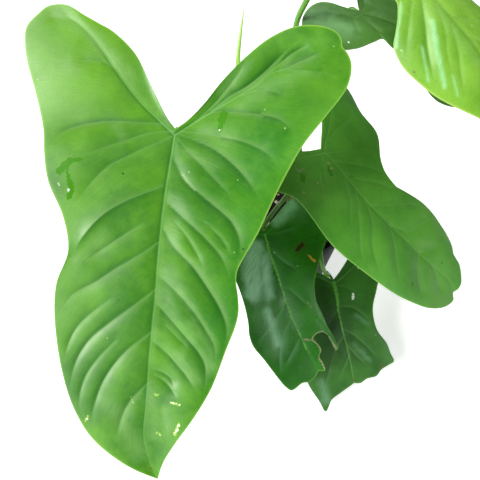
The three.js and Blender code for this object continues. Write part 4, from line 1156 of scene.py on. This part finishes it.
# Pot and soil
def wall_inside(z):
    slope = (POT_TOP_RADIUS - LIP_OVERHANG - POT_BASE_RADIUS) / (POT_HEIGHT - LIP_HEIGHT)
    return POT_BASE_RADIUS + slope * z - POT_WALL


def pot_mesh():
    """Nursery pot: tapered wall, rolled lip, a stacking ledge and a ring of drain holes."""
    wall_top = POT_TOP_RADIUS - LIP_OVERHANG
    lip_foot = POT_HEIGHT - LIP_HEIGHT
    half_wall = POT_WALL / 2
    floor_rings = [15, DRAIN_CIRCLE_RADIUS - 4.5, DRAIN_CIRCLE_RADIUS, DRAIN_CIRCLE_RADIUS + 4.5]
    below = [(r, 0) for r in floor_rings + [44]]
    foot = [(POT_BASE_RADIUS + FOOT_ROUND * (math.sin(a) - 1), FOOT_ROUND * (1 - math.cos(a)))
            for a in np.linspace(0, math.pi / 2, 6)]
    wall = [(POT_BASE_RADIUS + (wall_top - POT_BASE_RADIUS) * t, lip_foot * t)
            for t in np.linspace(0.02, 0.99, 30)]
    ledge = [(wall_top + 0.3, lip_foot), (POT_TOP_RADIUS - 0.4, lip_foot), (POT_TOP_RADIUS, lip_foot + 0.5)]
    bead = [(POT_TOP_RADIUS + half_wall * (math.cos(a) - 1), POT_HEIGHT + half_wall * (math.sin(a) - 1))
            for a in np.linspace(0, math.pi, 9)]
    inner = [(POT_TOP_RADIUS - POT_WALL, POT_HEIGHT - 2), (wall_inside(lip_foot), lip_foot)]
    inner += [(wall_inside(z), z) for z in np.linspace(lip_foot - 4, POT_FLOOR + 1, 24)]
    base = [(r, POT_FLOOR) for r in [45] + floor_rings[::-1]]
    profile = below + foot + wall + ledge + bead + inner + base
    spots = [(x, y, z) for r, z in profile for x, y in circle(r, POT_SIDES)]
    faces = ringed_faces(len(profile), POT_SIDES)
    return cut_holes(make_mesh("nursery_pot", spots + [(0, 0, 0), (0, 0, POT_FLOOR)], faces))


def cut_holes(mesh):
    """The pot's mesh with its drain holes cut through the floor."""
    spots, faces = [], []
    for middle in circle(DRAIN_CIRCLE_RADIUS, DRAIN_HOLES):
        base = len(spots)
        hole = circle(DRAIN_HOLE_RADIUS, HOLE_SIDES, middle)
        spots += [(x, y, z) for z in (-5, 8) for x, y in hole]
        faces.append([base + j for j in reversed(range(HOLE_SIDES))])
        faces.append([base + HOLE_SIDES + j for j in range(HOLE_SIDES)])
        for j in range(HOLE_SIDES):
            a, b = base + j, base + (j + 1) % HOLE_SIDES
            faces.append([a, b, b + HOLE_SIDES, a + HOLE_SIDES])
    pot = bpy.data.objects.new("pot_blank", mesh)
    drills = bpy.data.objects.new("drills", make_mesh("drills", spots, faces, smooth=False))
    for item in (pot, drills):
        bpy.context.scene.collection.objects.link(item)
    cut = pot.modifiers.new("holes", "BOOLEAN")
    cut.operation, cut.object, cut.solver = "DIFFERENCE", drills, "EXACT"
    bpy.context.view_layer.update()
    result = bpy.data.meshes.new_from_object(pot.evaluated_get(bpy.context.evaluated_depsgraph_get()))
    for item in (pot, drills):
        bpy.data.objects.remove(item)
    result.name = "nursery_pot"
    result.set_sharp_from_angle(angle=math.radians(40))
    return result


def soil_height(x, y):
    """Height of the soil's top: soft mounds, clods and crumbs."""
    spot = Vector((x, y, 0))
    level = SOIL_LEVEL + math.cos(math.pi * math.hypot(x, y) / 140) - 0.4
    return (level + 1.6 * noise.noise(spot / 17) + 1.1 * noise.noise(spot / 6)
            + 0.7 * noise.noise(spot / 2.2))


def soil_mesh():
    """Soil body: a fine rough top over plain sides inside the pot."""
    edge, bed = wall_inside(SOIL_LEVEL) - SOIL_GAP, POT_FLOOR + 0.3
    spots = []
    for i in range(1, SOIL_RINGS + 1):
        radius = edge * (i / SOIL_RINGS) ** 0.8
        spots += [(x, y, soil_height(x, y)) for x, y in circle(radius, SOIL_SIDES)]
    for z, low in ((50, 50), (POT_FLOOR, bed)):
        spots += [(x, y, low) for x, y in circle(wall_inside(z) - SOIL_GAP, SOIL_SIDES)]
    spots += [(0, 0, soil_height(0, 0)), (0, 0, bed)]
    # These rings run from the top down, so each face is turned over.
    faces = [face[:1] + face[:0:-1] for face in ringed_faces(SOIL_RINGS + 2, SOIL_SIDES)]
    return make_mesh("potting_soil", spots, faces)


def scattered(name, count, small, large, fixed=()):
    """Lumps lying on the soil at seeded places, after any fixed (x, y, size) ones."""
    reach = wall_inside(SOIL_LEVEL) - 3
    draws = list(fixed)
    while len(draws) < count:
        radius, angle = reach * math.sqrt(rng.random()), 2 * math.pi * rng.random()
        x, y = radius * math.cos(angle), radius * math.sin(angle)
        if math.hypot(x - STEM_TOP[0], y - STEM_TOP[1]) > STEM_RADIUS + 2.5:
            draws.append((x, y, small + (large - small) * rng.random() ** 2))
    corners = [(0, 0, 1), (0, 0, -1)]
    for rise, turn in ((LUMP_RISE, 0), (-LUMP_RISE, LUMP_TURN)):
        corners += [(math.cos(a) * math.cos(rise), math.sin(a) * math.cos(rise), math.sin(rise))
                    for a in np.arange(5) * 2 * math.pi / 5 + turn]
    lump_faces = []
    for j in range(5):
        up, up_next, low, low_next = 2 + j, 2 + (j + 1) % 5, 7 + j, 7 + (j + 1) % 5
        lump_faces += [[0, up, up_next], [up, low, up_next], [up_next, low, low_next], [1, low_next, low]]
    spots, faces = [], []
    for i, (x, y, size) in enumerate(draws):
        shape = np.array(corners) * size * (0.8 + 0.4 * rng.random((12, 1)))
        shape *= (1, 0.7 + 0.3 * rng.random(), LUMP_FLAT)
        turn = 2 * math.pi * rng.random()
        c, s = math.cos(turn), math.sin(turn)
        shape = shape @ np.array([(c, s, 0), (-s, c, 0), (0, 0, 1)])
        spots.append(shape + (x, y, soil_height(x, y) + size * LUMP_FLAT * 0.25))
        faces += [[12 * i + corner for corner in face] for face in lump_faces]
    return make_mesh(name, np.vstack(spots), faces, smooth=False)


# Stage
def add_floor():
    floor = bpy.data.objects.new("floor", bpy.data.meshes.new("floor"))
    corners = [(x * FLOOR_REACH, y * FLOOR_REACH, 0) for x, y in ((-1, -1), (1, -1), (1, 1), (-1, 1))]
    floor.data.from_pydata(corners, [], [[0, 1, 2, 3]])
    shade = Shade("studio floor", 0.9, 0.1)
    shade.surface.inputs["Base Color"].default_value = (0.9, 0.9, 0.9, 1)
    shade.surface.inputs["Emission Color"].default_value = (1, 1, 1, 1)
    shade.surface.inputs["Emission Strength"].default_value = FLOOR_GLOW
    floor.data.materials.append(shade.material)
    bpy.context.scene.collection.objects.link(floor)


def add_light(name, kind, spot, target, **settings):
    light = bpy.data.lights.new(name, kind)
    for key, value in settings.items():
        setattr(light, key, value)
    lamp = bpy.data.objects.new(name, light)
    lamp.location = spot
    lamp.rotation_euler = (Vector(target) - Vector(spot)).to_track_quat("-Z", "Y").to_euler()
    bpy.context.scene.collection.objects.link(lamp)


def add_lights():
    """A broad soft key from the left, three weaker softboxes and a pale world."""
    add_light("key from the left", "SUN", KEY_SPOT, (0, 0, 0), energy=KEY_STRENGTH,
              angle=math.radians(KEY_SPREAD))
    for name, spot, target, size, power in SOFTBOXES:
        add_light(name, "AREA", spot, target, shape="SQUARE", size=size, energy=power)
    world = bpy.data.worlds.new("pale studio")
    world.use_nodes = True
    backdrop = next(n for n in world.node_tree.nodes if n.type == "BACKGROUND")
    backdrop.inputs["Color"].default_value = (1, 1, 1, 1)
    backdrop.inputs["Strength"].default_value = WORLD_STRENGTH
    bpy.context.scene.world = world


def add_camera():
    data = bpy.data.cameras.new("camera")
    data.lens, data.sensor_width = CAMERA_LENS, CAMERA_SENSOR
    camera = bpy.data.objects.new("camera", data)
    camera.location = CAMERA_SPOT
    camera.rotation_euler = (math.radians(90 - CAMERA_PITCH), 0, 0)
    bpy.context.scene.collection.objects.link(camera)
    bpy.context.scene.camera = camera


# Assembly
for leaf in LEAVES:
    name = leaf["name"]
    add_piece(name + "_blade", blade_mesh(leaf), leaf_shade(leaf, LOOKS[name]), leaf["slot"], name)
    stalk = name.replace("leaf", "stalk")
    add_piece(stalk + "_skin", stalk_mesh(leaf), stalk_shade(stalk, "426b21", "4f8425"), "stalk", stalk)
add_piece("new_leaf_spear", new_leaf_mesh(), stalk_shade("new leaf", "7dac43", "93bf55"),
          "new_growth", "new_leaf")
add_piece("stem_skin", stem_mesh(), plain_shade("stem bark", "4a5a2c", "6f8747", 0.6, 90), "stem", "stem")
add_piece("pot_shell", pot_mesh(),
          plain_shade("pot plastic", "0e1315", "191f22", 0.55, 40, 0.00005, 0.1), "pot", "nursery_pot")
add_piece("soil_bed", soil_mesh(), plain_shade("peat", "0d0a08", "2a2019", 0.95, 320, 0.0006),
          "soil", "potting_soil")
add_piece("soil_crumbs", scattered("soil crumbs", 1500, 0.5, 2.2),
          plain_shade("peat crumbs", "0f0b09", "33271d", 0.95, 400, 0.0004), "soil")
add_piece("pumice_grains", scattered("pumice", 190, 1.0, 4.0, SEEN_PUMICE),
          plain_shade("pumice", "9a8e78", "d8cdb6", 0.9, 500, 0.0005), "soil")

add_floor()
add_lights()
add_camera()
bpy.context.scene.view_settings.view_transform = "Standard"
